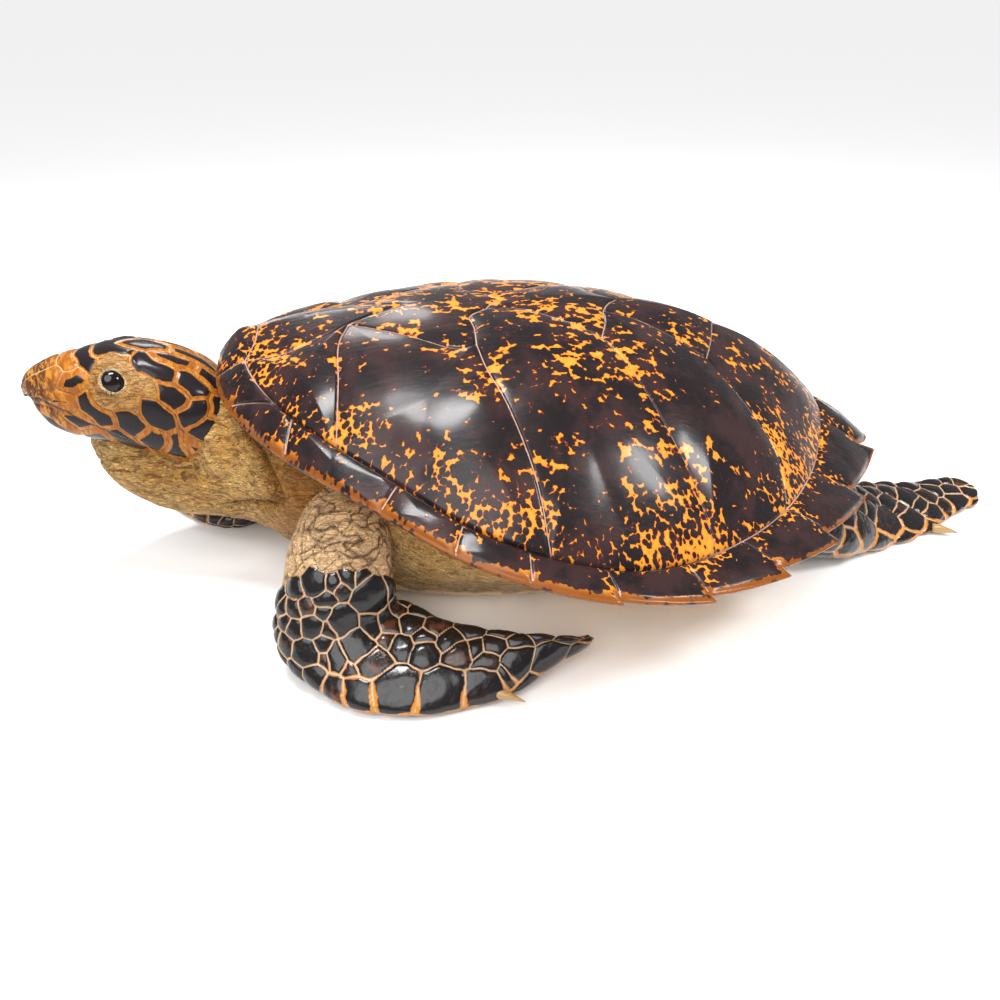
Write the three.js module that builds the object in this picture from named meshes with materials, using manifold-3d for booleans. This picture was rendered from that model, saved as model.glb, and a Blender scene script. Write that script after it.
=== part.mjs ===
// A preserved hawksbill sea turtle: the whole shell with its overlapping scutes, the head with glass
// eyes, the wrinkled neck, four flippers and the short tail.
// Millimetres, +Z up. The head points along -X, the turtle's left side faces -Y, and it stands on z = 0.
import * as THREE from 'three';
import { ParametricGeometry } from 'three/addons/geometries/ParametricGeometry.js';
import { mergeGeometries, mergeVertices } from 'three/addons/utils/BufferGeometryUtils.js';
import Module from 'manifold-3d';

const wasm = await Module();
wasm.setup();

// ---------- driving dimensions ----------

const GAP = 0.5; // clearance kept between neighbouring pieces
const CENTRE = new THREE.Vector3(3.8, 0, 0); // middle of the whole turtle, moved to the origin at the end

// Carapace: the crown of the dome and the rim of one half, from the front notch to the rear notch,
// as [x, half width, height].
const CROWN_X = -57;
const CROWN_Z = 219;
const RIM = [
  [-264, 0, 185], [-262, 36, 177], [-249, 80, 169], [-219, 123, 160], [-163, 169, 144],
  [-94, 222, 125], [-20, 240, 106], [52, 234, 94], [117, 209, 90], [171, 171, 86],
  [215, 125, 83], [249, 76, 82], [273, 29, 86], [279, 0, 88],
];
// The ring of marginal scutes starts at this share of the way from the crown to the rim. It flares
// out flatter than the dome. Values at the front, the middle and the rear of the rim.
const FLARE_START = [0.894, 0.896, 0.885];
const FLARE_RISE = [23, 5, 25];
const DOME_POWER = [2.54, 2.17, 2.85];

const LIP = 5; // thickness of the rim
const SEAM_DEPTH = 1.1; // how far a seam is sunk below the dome
const EDGE_LIFT = 0.7; // height of a scute's border above the dome
const OVERLAP_LIFT = 0.9; // extra height of its rear border, which lies over the next scute
const SCUTE_BULGE = 2.4; // height of its middle above the dome
// How far the rear corner of each marginal scute sticks out, from the first pair to the last.
const SERRATION = [0, 0, 0, 0, 0, 3, 6, 8, 10, 13, 19, 18];

// Where the seams between marginal scutes meet the rim, and where they meet the costal scutes, as
// shares of the half rim. The nuchal scute lies in front of the first one.
const RIM_SEAMS = [
  0.055, 0.125, 0.235, 0.318, 0.368, 0.417, 0.476, 0.544, 0.618, 0.699, 0.795, 0.905, 1,
];
const INNER_SEAMS = [
  0.085, 0.182, 0.214, 0.322, 0.371, 0.419, 0.477, 0.547, 0.613, 0.693, 0.782, 0.912, 1,
];
// Where the seams between costal scutes reach the marginal ring.
const COSTAL_1_2 = 0.267;
const COSTAL_2_3 = 0.435;
const COSTAL_3_4 = 0.581;
const COSTAL_4_REAR = 0.693;

// Seams on the dome, as [x, half width]. Each one ends at a corner that it shares with its neighbours.
const CORNER = {
  front: [-168, 20],
  second: [-76, 70],
  secondRear: [-62, 18],
  third: [20, 61],
  thirdRear: [31, 22],
  fourth: [108, 56],
};
const KEEL = { nuchal: [-238, 0], first: [-128, 0], second: [-50, 0], third: [47, 0], fourth: [133, 0] };

// Head: [x, top height, bottom height, half width] from the beak to the back of the skull.
const HEAD = [
  [-416, 178, 169, 3], [-412, 184, 164, 8], [-408, 188, 152, 12], [-401, 192, 143, 16],
  [-388, 197, 135, 22], [-370, 200, 128, 29], [-350, 203, 120, 36], [-328, 202, 110, 41],
  [-306, 195, 100, 44], [-286, 183, 94, 45], [-274, 170, 98, 42],
];
const HEAD_YAW = THREE.MathUtils.degToRad(6); // the head is turned a little to its left
const HEAD_PIVOT = new THREE.Vector3(-275, 0, 0);
const EYE_RADIUS = 11.2;
const EYE = [-347, 25, 183]; // centre of an eye before the head is turned: x, half width, height

// Neck, throat and shoulders: the same four values.
const NECK = [
  [-382, 126, 112, 10], [-374, 138, 94, 22], [-360, 150, 76, 33], [-338, 160, 59, 42], [-312, 167, 50, 48],
  [-285, 168, 47, 54], [-258, 166, 41, 66], [-235, 160, 33, 86], [-212, 152, 26, 104], [-188, 142, 21, 114],
  [-166, 132, 18, 118],
];
// Rump and tail.
const TAIL = [
  [150, 84, 18, 108], [180, 84, 19, 102], [208, 80, 21, 88], [232, 74, 24, 62], [252, 66, 28, 34],
  [268, 56, 30, 18], [284, 47, 31, 9], [294, 41, 32, 4],
];
// Plastron: [height, front x, rear x, half width] of its level outlines. The lowest one is the flat
// face that the turtle rests on.
const PLASTRON = [
  [0, -202, 198, 96], [5, -209, 205, 108], [16, -214, 210, 122], [32, -212, 208, 138],
  [56, -202, 202, 160], [82, -190, 192, 178], [110, -182, 186, 186], [140, -178, 182, 188],
];

// Flippers: points on the leading edge, points on the trailing edge and the thickness there, from
// the root to the tip.
const FRONT_LEFT = [
  [[-212, -82, 80], [-150, -88, 105], 54], [[-221, -112, 77], [-150, -118, 98], 53],
  [[-232, -138, 56], [-150, -142, 84], 47], [[-238, -155, 33], [-150, -155, 66], 39],
  [[-231, -173, 17], [-150, -156, 54], 31], [[-210, -194, 8], [-148, -153, 46], 25],
  [[-181, -216, 6], [-140, -150, 41], 20], [[-139, -227, 6], [-118, -168, 40], 16],
  [[-105, -224, 5], [-86, -184, 39], 13], [[-75, -219, 6], [-60, -192, 38], 10.5],
  [[-50, -205, 10], [-38, -197, 36], 8], [[-24, -193, 16], [-20, -196, 31], 6],
  [[-7, -188, 22], [-7, -188, 24], 2],
];
const FRONT_RIGHT = [
  [[-212, 70, 74], [-172, 118, 108], 54], [[-232, 56, 52], [-190, 122, 92], 50],
  [[-252, 42, 28], [-208, 120, 72], 44], [[-272, 35, 10], [-228, 112, 58], 36],
  [[-294, 33, 4], [-252, 108, 48], 29], [[-318, 41, 3], [-278, 112, 43], 24],
  [[-342, 60, 3], [-306, 122, 40], 20], [[-364, 86, 3], [-334, 136, 38], 17],
  [[-383, 116, 4], [-358, 151, 36], 14], [[-398, 145, 6], [-378, 166, 33], 11],
  [[-407, 170, 10], [-393, 178, 28], 8], [[-411, 188, 15], [-404, 190, 24], 5],
  [[-413, 200, 19], [-412, 200, 21], 2],
];
const HIND_LEFT = [
  [[205, -118, 30], [190, -55, 48], 46], [[235, -112, 18], [225, -48, 44], 40],
  [[262, -102, 10], [258, -38, 38], 32], [[292, -90, 5], [292, -21, 28], 24],
  [[321, -82, 4], [324, -16, 22], 17], [[349, -71, 4], [353, -12, 18], 13],
  [[376, -56, 4], [382, -7, 15], 11], [[400, -44, 5], [403, -3, 14], 9],
  [[415, -38, 6], [417, -10, 12], 6], [[423, -26, 9], [423, -22, 10], 2],
];
const HIND_RIGHT = [
  [[188, 120, 30], [200, 55, 48], 46], [[214, 122, 18], [232, 58, 44], 40],
  [[240, 126, 10], [260, 64, 38], 32], [[264, 135, 4], [290, 66, 28], 24],
  [[288, 144, 3], [316, 82, 22], 17], [[309, 154, 3], [338, 102, 18], 13],
  [[326, 167, 3], [352, 124, 15], 11], [[338, 180, 4], [359, 146, 14], 9],
  [[346, 186, 6], [362, 164, 12], 6], [[356, 182, 9], [359, 178, 10], 2],
];
const CLAW_LENGTH = 13;
const CLAW_RADIUS = 3;

// ---------- geometry helpers ----------

const lerp = THREE.MathUtils.lerp;
const clamp = THREE.MathUtils.clamp;

// Value of a table of values spread evenly over 0 to 1.
function spread(values, t) {
  const position = clamp(t, 0, 1) * (values.length - 1);
  const index = Math.min(Math.floor(position), values.length - 2);
  return lerp(values[index], values[index + 1], position - index);
}

// Smooth curve through points of two or three numbers.
function curveThrough(points) {
  const corners = points.map(([x, y, z = 0]) => new THREE.Vector3(x, y, z));
  return new THREE.CatmullRomCurve3(corners, false, 'catmullrom', 0.5);
}

// One closed surface from several patches: equal corners are joined and flat slivers dropped.
function joined(patches) {
  const merged = mergeGeometries(patches.map((patch) => {
    const bare = patch.clone();
    bare.deleteAttribute('normal');
    bare.deleteAttribute('uv');
    return bare;
  }));
  const welded = mergeVertices(merged, 1e-3);
  const index = welded.index.array;
  const kept = [];
  for (let i = 0; i < index.length; i += 3) {
    const [a, b, c] = [index[i], index[i + 1], index[i + 2]];
    if (a !== b && b !== c && c !== a) {
      kept.push(a, b, c);
    }
  }
  welded.setIndex(kept);
  return welded;
}

function asSolid(geometry) {
  const vertProperties = new Float32Array(geometry.attributes.position.array);
  const triVerts = new Uint32Array(geometry.index.array);
  return new wasm.Manifold(new wasm.Mesh({ numProp: 3, vertProperties, triVerts }));
}

function asGeometry(solid) {
  const mesh = solid.getMesh();
  const geometry = new THREE.BufferGeometry();
  geometry.setAttribute('position', new THREE.BufferAttribute(new Float32Array(mesh.vertProperties), 3));
  geometry.setIndex(new THREE.BufferAttribute(new Uint32Array(mesh.triVerts), 1));
  return geometry;
}

// The same shape with every corner moved outwards along its normal.
function grown(geometry, distance = GAP) {
  const copy = geometry.clone();
  copy.computeVertexNormals();
  const position = copy.attributes.position;
  const normal = copy.attributes.normal;
  for (let i = 0; i < position.count; i += 1) {
    position.setXYZ(
      i,
      position.getX(i) + normal.getX(i) * distance,
      position.getY(i) + normal.getY(i) * distance,
      position.getZ(i) + normal.getZ(i) * distance,
    );
  }
  copy.deleteAttribute('normal');
  return copy;
}

// A piece with its neighbours and their clearance cut away. Only its largest body is kept.
function cutBy(geometry, neighbours) {
  let solid = asSolid(geometry);
  for (const neighbour of neighbours) {
    solid = solid.subtract(asSolid(grown(neighbour)));
  }
  const bodies = solid.decompose().sort((a, b) => b.volume() - a.volume());
  return asGeometry(bodies[0].simplify(0.001));
}

function fused(geometry, additions) {
  let solid = asSolid(geometry);
  for (const addition of additions) {
    solid = solid.add(asSolid(addition));
  }
  return asGeometry(solid);
}

// ---------- carapace ----------

const rimCurve = curveThrough(RIM);
const rimSamples = Array.from({ length: 401 }, (_, i) => rimCurve.getPoint(i / 400));
const rimAngles = rimSamples.map((p) => Math.atan2(Math.abs(p.y), CROWN_X - p.x));

// Share of the half rim that lies in the direction of a point seen from the crown.
function rimShare(x, y) {
  const angle = Math.atan2(Math.abs(y), CROWN_X - x);
  let high = rimAngles.findIndex((value) => value >= angle);
  if (high < 1) {
    high = high === 0 ? 1 : 400;
  }
  const step = (angle - rimAngles[high - 1]) / (rimAngles[high] - rimAngles[high - 1]);
  return clamp((high - 1 + step) / 400, 0, 1);
}

// Height of the smooth shell above a point of the plan.
function domeHeight(x, y) {
  const t = rimShare(x, y);
  const rim = rimCurve.getPoint(t);
  const reach = Math.hypot(x - CROWN_X, y) / Math.hypot(rim.x - CROWN_X, rim.y);
  const start = spread(FLARE_START, t);
  const rise = spread(FLARE_RISE, t);
  const shoulder = rim.z + rise;
  if (reach < start) {
    return shoulder + (CROWN_Z - shoulder) * (1 - (reach / start) ** spread(DOME_POWER, t));
  }
  return shoulder - rise * Math.min((reach - start) / (1 - start), 1.3) ** 1.15;
}

// Height of the rim at a given x, the same on both sides.
function rimHeight(x) {
  let i = rimSamples.findIndex((p) => p.x >= x);
  if (i < 0) {
    i = 400;
  }
  return rimSamples[i].z;
}

// Points of the plan on the line between the marginal ring and the dome, and on the rim.
function innerPoint(t) {
  const rim = rimCurve.getPoint(t);
  const start = spread(FLARE_START, t);
  return [CROWN_X + (rim.x - CROWN_X) * start, rim.y * start];
}

// The rim, with the rear corner of each marginal pushed outwards by `out`.
function rimPoint(t, out = 0) {
  const rim = rimCurve.getPoint(t);
  const reach = Math.hypot(rim.x - CROWN_X, rim.y);
  const scale = 1 + out / reach;
  return [CROWN_X + (rim.x - CROWN_X) * scale, rim.y * scale];
}

// Values between two shares, both ends included, with steps no longer than `step`.
function steps(from, to, step) {
  const count = Math.max(1, Math.ceil(Math.abs(to - from) / step - 1e-6));
  return Array.from({ length: count + 1 }, (_, i) => lerp(from, to, i / count));
}

// Every seam end on the inner line, in order, so that neighbours on both sides share their corners.
const innerKnots = [...new Set([...INNER_SEAMS, COSTAL_1_2, COSTAL_2_3, COSTAL_3_4, COSTAL_4_REAR])];
innerKnots.sort((a, b) => a - b);

function innerLine(from, to) {
  const knots = innerKnots.filter((t) => t >= from - 1e-9 && t <= to + 1e-9);
  const shares = [knots[0]];
  for (let i = 1; i < knots.length; i += 1) {
    shares.push(...steps(knots[i - 1], knots[i], 0.032).slice(1));
  }
  return shares.map(innerPoint);
}

// Points along a seam, about 24 mm apart.
function seam(...points) {
  const curve = curveThrough(points);
  const count = Math.max(2, Math.round(curve.getLength() / 24));
  return Array.from({ length: count + 1 }, (_, i) => {
    const p = curve.getPoint(i / count);
    return [p.x, p.y];
  });
}

const nuchalCorner = innerPoint(INNER_SEAMS[0]);
const SEAM = {
  nuchal: seam(KEEL.nuchal, [-240, 18], nuchalCorner),
  firstSide: seam(nuchalCorner, [-216, 40], [-190, 33], CORNER.front),
  firstRear: seam(CORNER.front, [-152, 12], KEEL.first),
  secondSide: seam(CORNER.front, [-149, 32], [-120, 52], [-92, 71], CORNER.second),
  secondBack: seam(CORNER.second, [-75, 48], [-76, 30], CORNER.secondRear),
  secondRear: seam(CORNER.secondRear, [-56, 7], KEEL.second),
  thirdSide: seam(CORNER.secondRear, [-32, 24], [-10, 40], CORNER.third),
  thirdBack: seam(CORNER.third, [28, 40], CORNER.thirdRear),
  thirdRear: seam(CORNER.thirdRear, [38, 9], KEEL.third),
  fourthSide: seam(CORNER.thirdRear, [55, 28], [82, 42], CORNER.fourth),
  fourthRear: seam(CORNER.fourth, [121, 30], KEEL.fourth),
  costal12: seam(CORNER.front, [-176, 46], [-177, 86], innerPoint(COSTAL_1_2)),
  costal23: seam(CORNER.second, [-72, 96], [-62, 126], [-50, 174], innerPoint(COSTAL_2_3)),
  costal34: seam(CORNER.third, [34, 89], [52, 134], [63, 160], innerPoint(COSTAL_3_4)),
  costal4Rear: seam(CORNER.fourth, [119, 73], [137, 94], [150, 116], innerPoint(COSTAL_4_REAR)),
};

const back = (points) => [...points].reverse();
const mirrored = (points) => points.map(([x, y]) => [x, -y]);

// A closed outline from pieces whose ends meet.
function outline(...pieces) {
  return pieces.flatMap((piece) => piece.slice(0, -1));
}

// Outline of a scute on the keel from its half.
function keelOutline(...pieces) {
  const half = [...outline(...pieces), pieces.at(-1).at(-1)];
  return [...half, ...back(mirrored(half)).slice(1, -1)];
}

// Free edge of a marginal scute. Its rear corner sticks out, and the last pair leaves a notch
// between its rounded corners.
function marginalRim(number) {
  const [from, to] = [RIM_SEAMS[number - 1], RIM_SEAMS[number]];
  const isLast = number === RIM_SEAMS.length - 1;
  return steps(from, to, 0.034).map((t) => {
    const share = (t - from) / (to - from);
    return rimPoint(t, SERRATION[number - 1] * (isLast ? 3.4 * share * (1 - share) : share));
  });
}

const frontRim = steps(0, RIM_SEAMS[0], 0.028).map((t) => rimPoint(t));
const keelScutes = [
  keelOutline(frontRim, [rimPoint(RIM_SEAMS[0]), nuchalCorner], back(SEAM.nuchal)),
  keelOutline(SEAM.nuchal, SEAM.firstSide, SEAM.firstRear),
  keelOutline(back(SEAM.firstRear), SEAM.secondSide, SEAM.secondBack, SEAM.secondRear),
  keelOutline(back(SEAM.secondRear), SEAM.thirdSide, SEAM.thirdBack, SEAM.thirdRear),
  keelOutline(back(SEAM.thirdRear), SEAM.fourthSide, SEAM.fourthRear),
  keelOutline(back(SEAM.fourthRear), SEAM.costal4Rear, innerLine(COSTAL_4_REAR, 1)),
];
const costalScutes = [
  outline(back(SEAM.firstSide), innerLine(INNER_SEAMS[0], COSTAL_1_2), back(SEAM.costal12)),
  outline(back(SEAM.secondSide), SEAM.costal12, innerLine(COSTAL_1_2, COSTAL_2_3), back(SEAM.costal23)),
  outline(
    back(SEAM.thirdSide),
    back(SEAM.secondBack),
    SEAM.costal23,
    innerLine(COSTAL_2_3, COSTAL_3_4),
    back(SEAM.costal34),
  ),
  outline(
    back(SEAM.fourthSide),
    back(SEAM.thirdBack),
    SEAM.costal34,
    innerLine(COSTAL_3_4, COSTAL_4_REAR),
    back(SEAM.costal4Rear),
  ),
];
const marginalScutes = RIM_SEAMS.slice(1).map((_, i) => outline(
  back(innerLine(INNER_SEAMS[i], INNER_SEAMS[i + 1])),
  [innerPoint(INNER_SEAMS[i]), rimPoint(RIM_SEAMS[i])],
  marginalRim(i + 1),
  [marginalRim(i + 1).at(-1), rimPoint(RIM_SEAMS[i + 1]), innerPoint(INNER_SEAMS[i + 1])],
));

function turnsLeft(points) {
  let area = 0;
  points.forEach(([x, y], i) => {
    const [nextX, nextY] = points[(i + 1) % points.length];
    area += x * nextY - nextX * y;
  });
  return area > 0;
}

// Raised top of one scute, as rings that shrink from its seam towards its middle.
function scutePatch(points, ringScales) {
  const loop = turnsLeft(points) ? points : back(points);
  const middleX = loop.reduce((sum, p) => sum + p[0], 0) / loop.length;
  const middleY = loop.reduce((sum, p) => sum + p[1], 0) / loop.length;
  const rings = ringScales.length - 1;
  return new ParametricGeometry((u, v, target) => {
    const [edgeX, edgeY] = loop[Math.round(u * loop.length) % loop.length];
    const scale = ringScales[Math.round(v * rings)];
    const x = lerp(middleX, edgeX, scale);
    const y = lerp(middleY, edgeY, scale);
    const span = Math.hypot(edgeX - middleX, edgeY - middleY);
    const rearward = clamp((edgeX - middleX) / span + 0.3, 0, 1);
    const pillow = EDGE_LIFT + OVERLAP_LIFT * rearward * scale + SCUTE_BULGE * (1 - scale ** 2);
    const onRim = scale === 1 && rimReach(edgeX, edgeY) > 0.985;
    const seamed = onRim ? 0 : -SEAM_DEPTH;
    target.set(x, y, domeHeight(x, y) + (scale === 1 ? seamed : pillow));
  }, loop.length, rings);
}

// Distance of a point from the crown as a share of the rim's.
function rimReach(x, y) {
  const rim = rimCurve.getPoint(rimShare(x, y));
  return Math.hypot(x - CROWN_X, y) / Math.hypot(rim.x - CROWN_X, rim.y);
}

// The rim's outline with all its tips, once round.
const leftRim = [
  ...frontRim,
  ...RIM_SEAMS.slice(1).flatMap((_, i) => {
    const edge = marginalRim(i + 1);
    const bare = rimPoint(RIM_SEAMS[i + 1]);
    const tip = edge.at(-1);
    const hasTip = Math.hypot(tip[0] - bare[0], tip[1] - bare[1]) > 0.01;
    return hasTip ? [...edge.slice(1), bare] : edge.slice(1);
  }),
];
const rimLoop = [...leftRim, ...back(mirrored(leftRim)).slice(1, -1)];

// Underside of the carapace: the lip of the rim and the shallow face that closes the body.
function undersidePatch() {
  const levels = [[1, 0], [0.992, 0.8], [0.96, 1], [0.87, 1.9], [0.5, 2.8], [0, 2.8]];
  const points = turnsLeft(rimLoop) ? back(rimLoop) : rimLoop;
  return new ParametricGeometry((u, v, target) => {
    const [scale, drop] = levels[Math.round(v * (levels.length - 1))];
    const coarse = scale < 0.6 ? 4 : 1;
    const corner = Math.round(u * points.length) % points.length;
    const [rimX, rimY] = points[corner - (corner % coarse)];
    const beyond = scale < 0.99 ? Math.max(rimReach(rimX, rimY), 1) : 1;
    const edgeX = lerp(CROWN_X, rimX, 1 / beyond);
    const edgeY = rimY / beyond;
    const edgeHeight = domeHeight(edgeX, edgeY);
    const x = lerp(CROWN_X, edgeX, scale);
    const level = lerp(rimHeight(x), edgeHeight, clamp((scale - 0.8) / 0.2, 0, 1));
    target.set(x, edgeY * scale, scale === 1 ? edgeHeight : level - LIP * drop);
  }, points.length, levels.length - 1);
}

function carapace() {
  const wide = [1, 0.94, 0.66, 0.33, 0];
  const narrow = [1, 0.86, 0.45, 0];
  const patches = [];
  keelScutes.forEach((points, i) => patches.push(scutePatch(points, i === 0 ? narrow : wide)));
  for (const points of costalScutes) {
    patches.push(scutePatch(points, wide), scutePatch(mirrored(points), wide));
  }
  for (const points of marginalScutes) {
    patches.push(scutePatch(points, narrow), scutePatch(mirrored(points), narrow));
  }
  patches.push(undersidePatch());
  return joined(patches);
}

// ---------- soft body ----------

// Closed body along X through stations of [x, top, bottom, half width]. `shape` may move a point:
// it gets the share of the length, the angle from the left side and the point itself.
function bodyLoft(stations, around, along, power, shape = () => {}) {
  const column = (k) => stations.map((station) => station[k]);
  const axis = curveThrough(stations.map(([x, top, bottom]) => [x, top, bottom]));
  const widths = curveThrough(column(3).map((w) => [w, 0, 0]));
  return joined([new ParametricGeometry((u, v, target) => {
    const ring = Math.round(v * along);
    const t = clamp((ring - 1) / (along - 2), 0, 1);
    const angle = (ring % along === 0 ? 0 : u) * Math.PI * 2;
    const section = axis.getPoint(t);
    const width = widths.getPoint(t).x;
    const middle = (section.y + section.z) / 2;
    const half = (section.y - section.z) / 2;
    const size = ring % along === 0 ? 0 : 1;
    const side = Math.cos(angle);
    const up = Math.sin(angle);
    target.set(
      section.x,
      width * size * Math.sign(side) * Math.abs(side) ** power,
      middle + half * size * Math.sign(up) * Math.abs(up) ** power,
    );
    if (size) {
      shape(t, angle, target);
    }
  }, around, along)]);
}

// Flipper through its leading and trailing edges. Every second corner is raised into a scale.
function flipper(stations, around, along, scaleHeight, bareRoot) {
  const lead = curveThrough(stations.map((station) => station[0]));
  const trail = curveThrough(stations.map((station) => station[1]));
  const thickness = curveThrough(stations.map((station) => [station[2], 0, 0]));
  return joined([new ParametricGeometry((u, v, target) => {
    const ring = Math.round(v * along);
    const step = Math.round(u * around) % around;
    const t = clamp((ring - 1) / (along - 2), 0, 1);
    const size = ring % along === 0 ? 0 : 1;
    const angle = (step / around) * Math.PI * 2;
    const front = lead.getPoint(t);
    const rear = trail.getPoint(t);
    const middle = front.clone().add(rear).multiplyScalar(0.5);
    const chord = front.clone().sub(middle);
    const ahead = lead.getPoint(Math.min(t + 0.02, 1)).add(trail.getPoint(Math.min(t + 0.02, 1)));
    const behind = lead.getPoint(Math.max(t - 0.02, 0)).add(trail.getPoint(Math.max(t - 0.02, 0)));
    const normal = ahead.sub(behind).cross(chord).normalize();
    const half = thickness.getPoint(t).x / 2;
    const raised = (step + ring) % 2 === 0 && t > bareRoot ? scaleHeight * Math.min(1, half / 4) : 0;
    const out = 1 + raised / Math.max(chord.length(), 6);
    target.copy(middle);
    target.addScaledVector(chord, size * Math.cos(angle) * out);
    const upwards = Math.sin(angle) * half + Math.sign(Math.sin(angle)) * raised * 0.7;
    target.addScaledVector(normal, size * upwards);
    target.z = Math.max(target.z, 0.4);
  }, around, along)]);
}

// Small pointed claw on a flipper's edge.
function claw(base, direction) {
  const cone = new THREE.ConeGeometry(CLAW_RADIUS, CLAW_LENGTH, 7);
  cone.deleteAttribute('uv');
  const pointing = new THREE.Vector3(...direction).normalize();
  cone.applyQuaternion(new THREE.Quaternion().setFromUnitVectors(new THREE.Vector3(0, 1, 0), pointing));
  cone.translate(...base);
  return joined([withUv(cone)]);
}

// Joining needs the same attributes on every patch.
function withUv(geometry) {
  const empty = new Float32Array(geometry.attributes.position.count * 2);
  geometry.setAttribute('uv', new THREE.Float32BufferAttribute(empty, 2));
  return geometry;
}

function eyeAt(side) {
  const eye = new THREE.SphereGeometry(EYE_RADIUS, 12, 8);
  eye.rotateX(Math.PI / 2);
  eye.translate(EYE[0], side * EYE[1], EYE[2]);
  return joined([eye]);
}

function turnHead(geometry) {
  geometry.translate(-HEAD_PIVOT.x, -HEAD_PIVOT.y, 0);
  geometry.rotateZ(HEAD_YAW);
  geometry.translate(HEAD_PIVOT.x, HEAD_PIVOT.y, 0);
  return geometry;
}

// Groove of the mouth line and the ridges over the eyes.
function headShape(t, angle, point) {
  const side = Math.abs(Math.cos(angle));
  const mouth = Math.abs(point.z - lerp(176, 116, clamp((point.x + 410) / 94, 0, 1)));
  if (t < 0.62 && side > 0.45 && mouth < 5) {
    point.y *= 0.93;
  }
  if (t > 0.28 && t < 0.5 && point.z > 188) {
    point.y *= 1.05;
  }
}

// Plastron and bridges from level outlines. It is closed above under the carapace.
function bellyLoft(levels, around) {
  const along = levels.length + 1;
  return joined([new ParametricGeometry((u, v, target) => {
    const ring = Math.round(v * along);
    const [height, front, rear, width] = levels[clamp(ring - 1, 0, levels.length - 1)];
    const size = ring === 0 || ring === along ? 0 : 1;
    const angle = u * Math.PI * 2;
    const ahead = Math.cos(angle);
    const aside = Math.sin(angle);
    const reach = (rear - front) / 2;
    target.set(
      (front + rear) / 2 - size * reach * Math.sign(ahead) * Math.abs(ahead) ** 0.82,
      -size * width * Math.sign(aside) * Math.abs(aside) ** 0.82,
      height,
    );
  }, around, along)]);
}

// ---------- the pieces ----------

const shell = carapace();
const eyeLeft = turnHead(eyeAt(-1));
const eyeRight = turnHead(eyeAt(1));
const headBlank = turnHead(bodyLoft(HEAD, 20, 19, 0.86, headShape));
const neckBlank = bodyLoft(NECK, 22, 13, 0.92);
const tailBlank = bodyLoft(TAIL, 14, 9, 0.9);
const plastronBlank = bellyLoft(PLASTRON, 28);

// Room that each piece keeps free around itself.
const shellRoom = shell.clone().translate(0, 0, -GAP);
const headRoom = grown(headBlank);
const neckRoom = grown(neckBlank);
const tailRoom = grown(tailBlank);
const plastronRoom = grown(plastronBlank);

const head = cutBy(headBlank, [grown(eyeLeft), grown(eyeRight), shellRoom]);
const neck = cutBy(neckBlank, [headRoom, shellRoom]);
const tail = cutBy(tailBlank, [shellRoom]);
const plastron = cutBy(plastronBlank, [neckRoom, tailRoom, shellRoom]);

function limb(blank, clawBase, clawDirection) {
  const whole = fused(blank, [claw(clawBase, clawDirection)]);
  return cutBy(whole, [shellRoom, neckRoom, tailRoom, plastronRoom]);
}

const frontLeft = limb(flipper(FRONT_LEFT, 16, 23, 1.4, 0.3), [-74, -219, 7], [0.75, -0.62, 0.1]);
const frontRight = limb(flipper(FRONT_RIGHT, 16, 23, 1.4, 0.3), [-384, 114, 6], [-0.75, -0.5, 0.1]);
const hindLeft = limb(flipper(HIND_LEFT, 12, 16, 1.2, 0.1), [350, -72, 6], [0.8, -0.55, 0]);
const hindRight = limb(flipper(HIND_RIGHT, 12, 16, 1.2, 0.1), [308, 155, 5], [0.45, 0.8, 0]);

const shellMaterial = new THREE.MeshStandardMaterial({ color: 0x4a2a1a, roughness: 0.25, metalness: 0 });
const skinMaterial = new THREE.MeshStandardMaterial({ color: 0xc9a26a, roughness: 0.7, metalness: 0 });
const bellyMaterial = new THREE.MeshStandardMaterial({ color: 0xd9b06a, roughness: 0.45, metalness: 0 });
const scaleMaterial = new THREE.MeshStandardMaterial({ color: 0x3a2c24, roughness: 0.35, metalness: 0 });
const glassMaterial = new THREE.MeshStandardMaterial({ color: 0x080606, roughness: 0.05, metalness: 0 });

const turtle = new THREE.Group();
const pieces = {
  carapace: [shell, shellMaterial],
  plastron: [plastron, bellyMaterial],
  neck: [neck, skinMaterial],
  head: [head, scaleMaterial],
  eye_left: [eyeLeft, glassMaterial],
  eye_right: [eyeRight, glassMaterial],
  front_flipper_left: [frontLeft, scaleMaterial],
  front_flipper_right: [frontRight, scaleMaterial],
  hind_flipper_left: [hindLeft, scaleMaterial],
  hind_flipper_right: [hindRight, scaleMaterial],
  tail: [tail, skinMaterial],
};
for (const [name, [geometry, material]] of Object.entries(pieces)) {
  const mesh = new THREE.Mesh(geometry, material.clone());
  mesh.name = name;
  turtle.add(mesh);
}
turtle.position.copy(CENTRE).negate();

export default turtle;
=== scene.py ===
"""A preserved hawksbill sea turtle, varnished: shell, head, neck, flippers and tail."""

import math

import bmesh
import bpy
import numpy as np
from mathutils import Matrix, Vector, noise


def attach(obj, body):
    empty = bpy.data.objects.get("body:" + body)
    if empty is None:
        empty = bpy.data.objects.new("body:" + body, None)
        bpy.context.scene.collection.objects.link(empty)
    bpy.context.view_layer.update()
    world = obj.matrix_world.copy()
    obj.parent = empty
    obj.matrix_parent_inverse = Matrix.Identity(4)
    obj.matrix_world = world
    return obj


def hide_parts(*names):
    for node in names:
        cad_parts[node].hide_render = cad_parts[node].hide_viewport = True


bl_info = {
    "name": "Mounted Sea Turtle",
    "version": (1, 0, 0),
    "blender": (4, 5, 0),
    "location": "View3D > Sidebar > Turtle",
    "description": "Builds a varnished hawksbill turtle piece by piece",
    "category": "Add Mesh",
}

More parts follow.
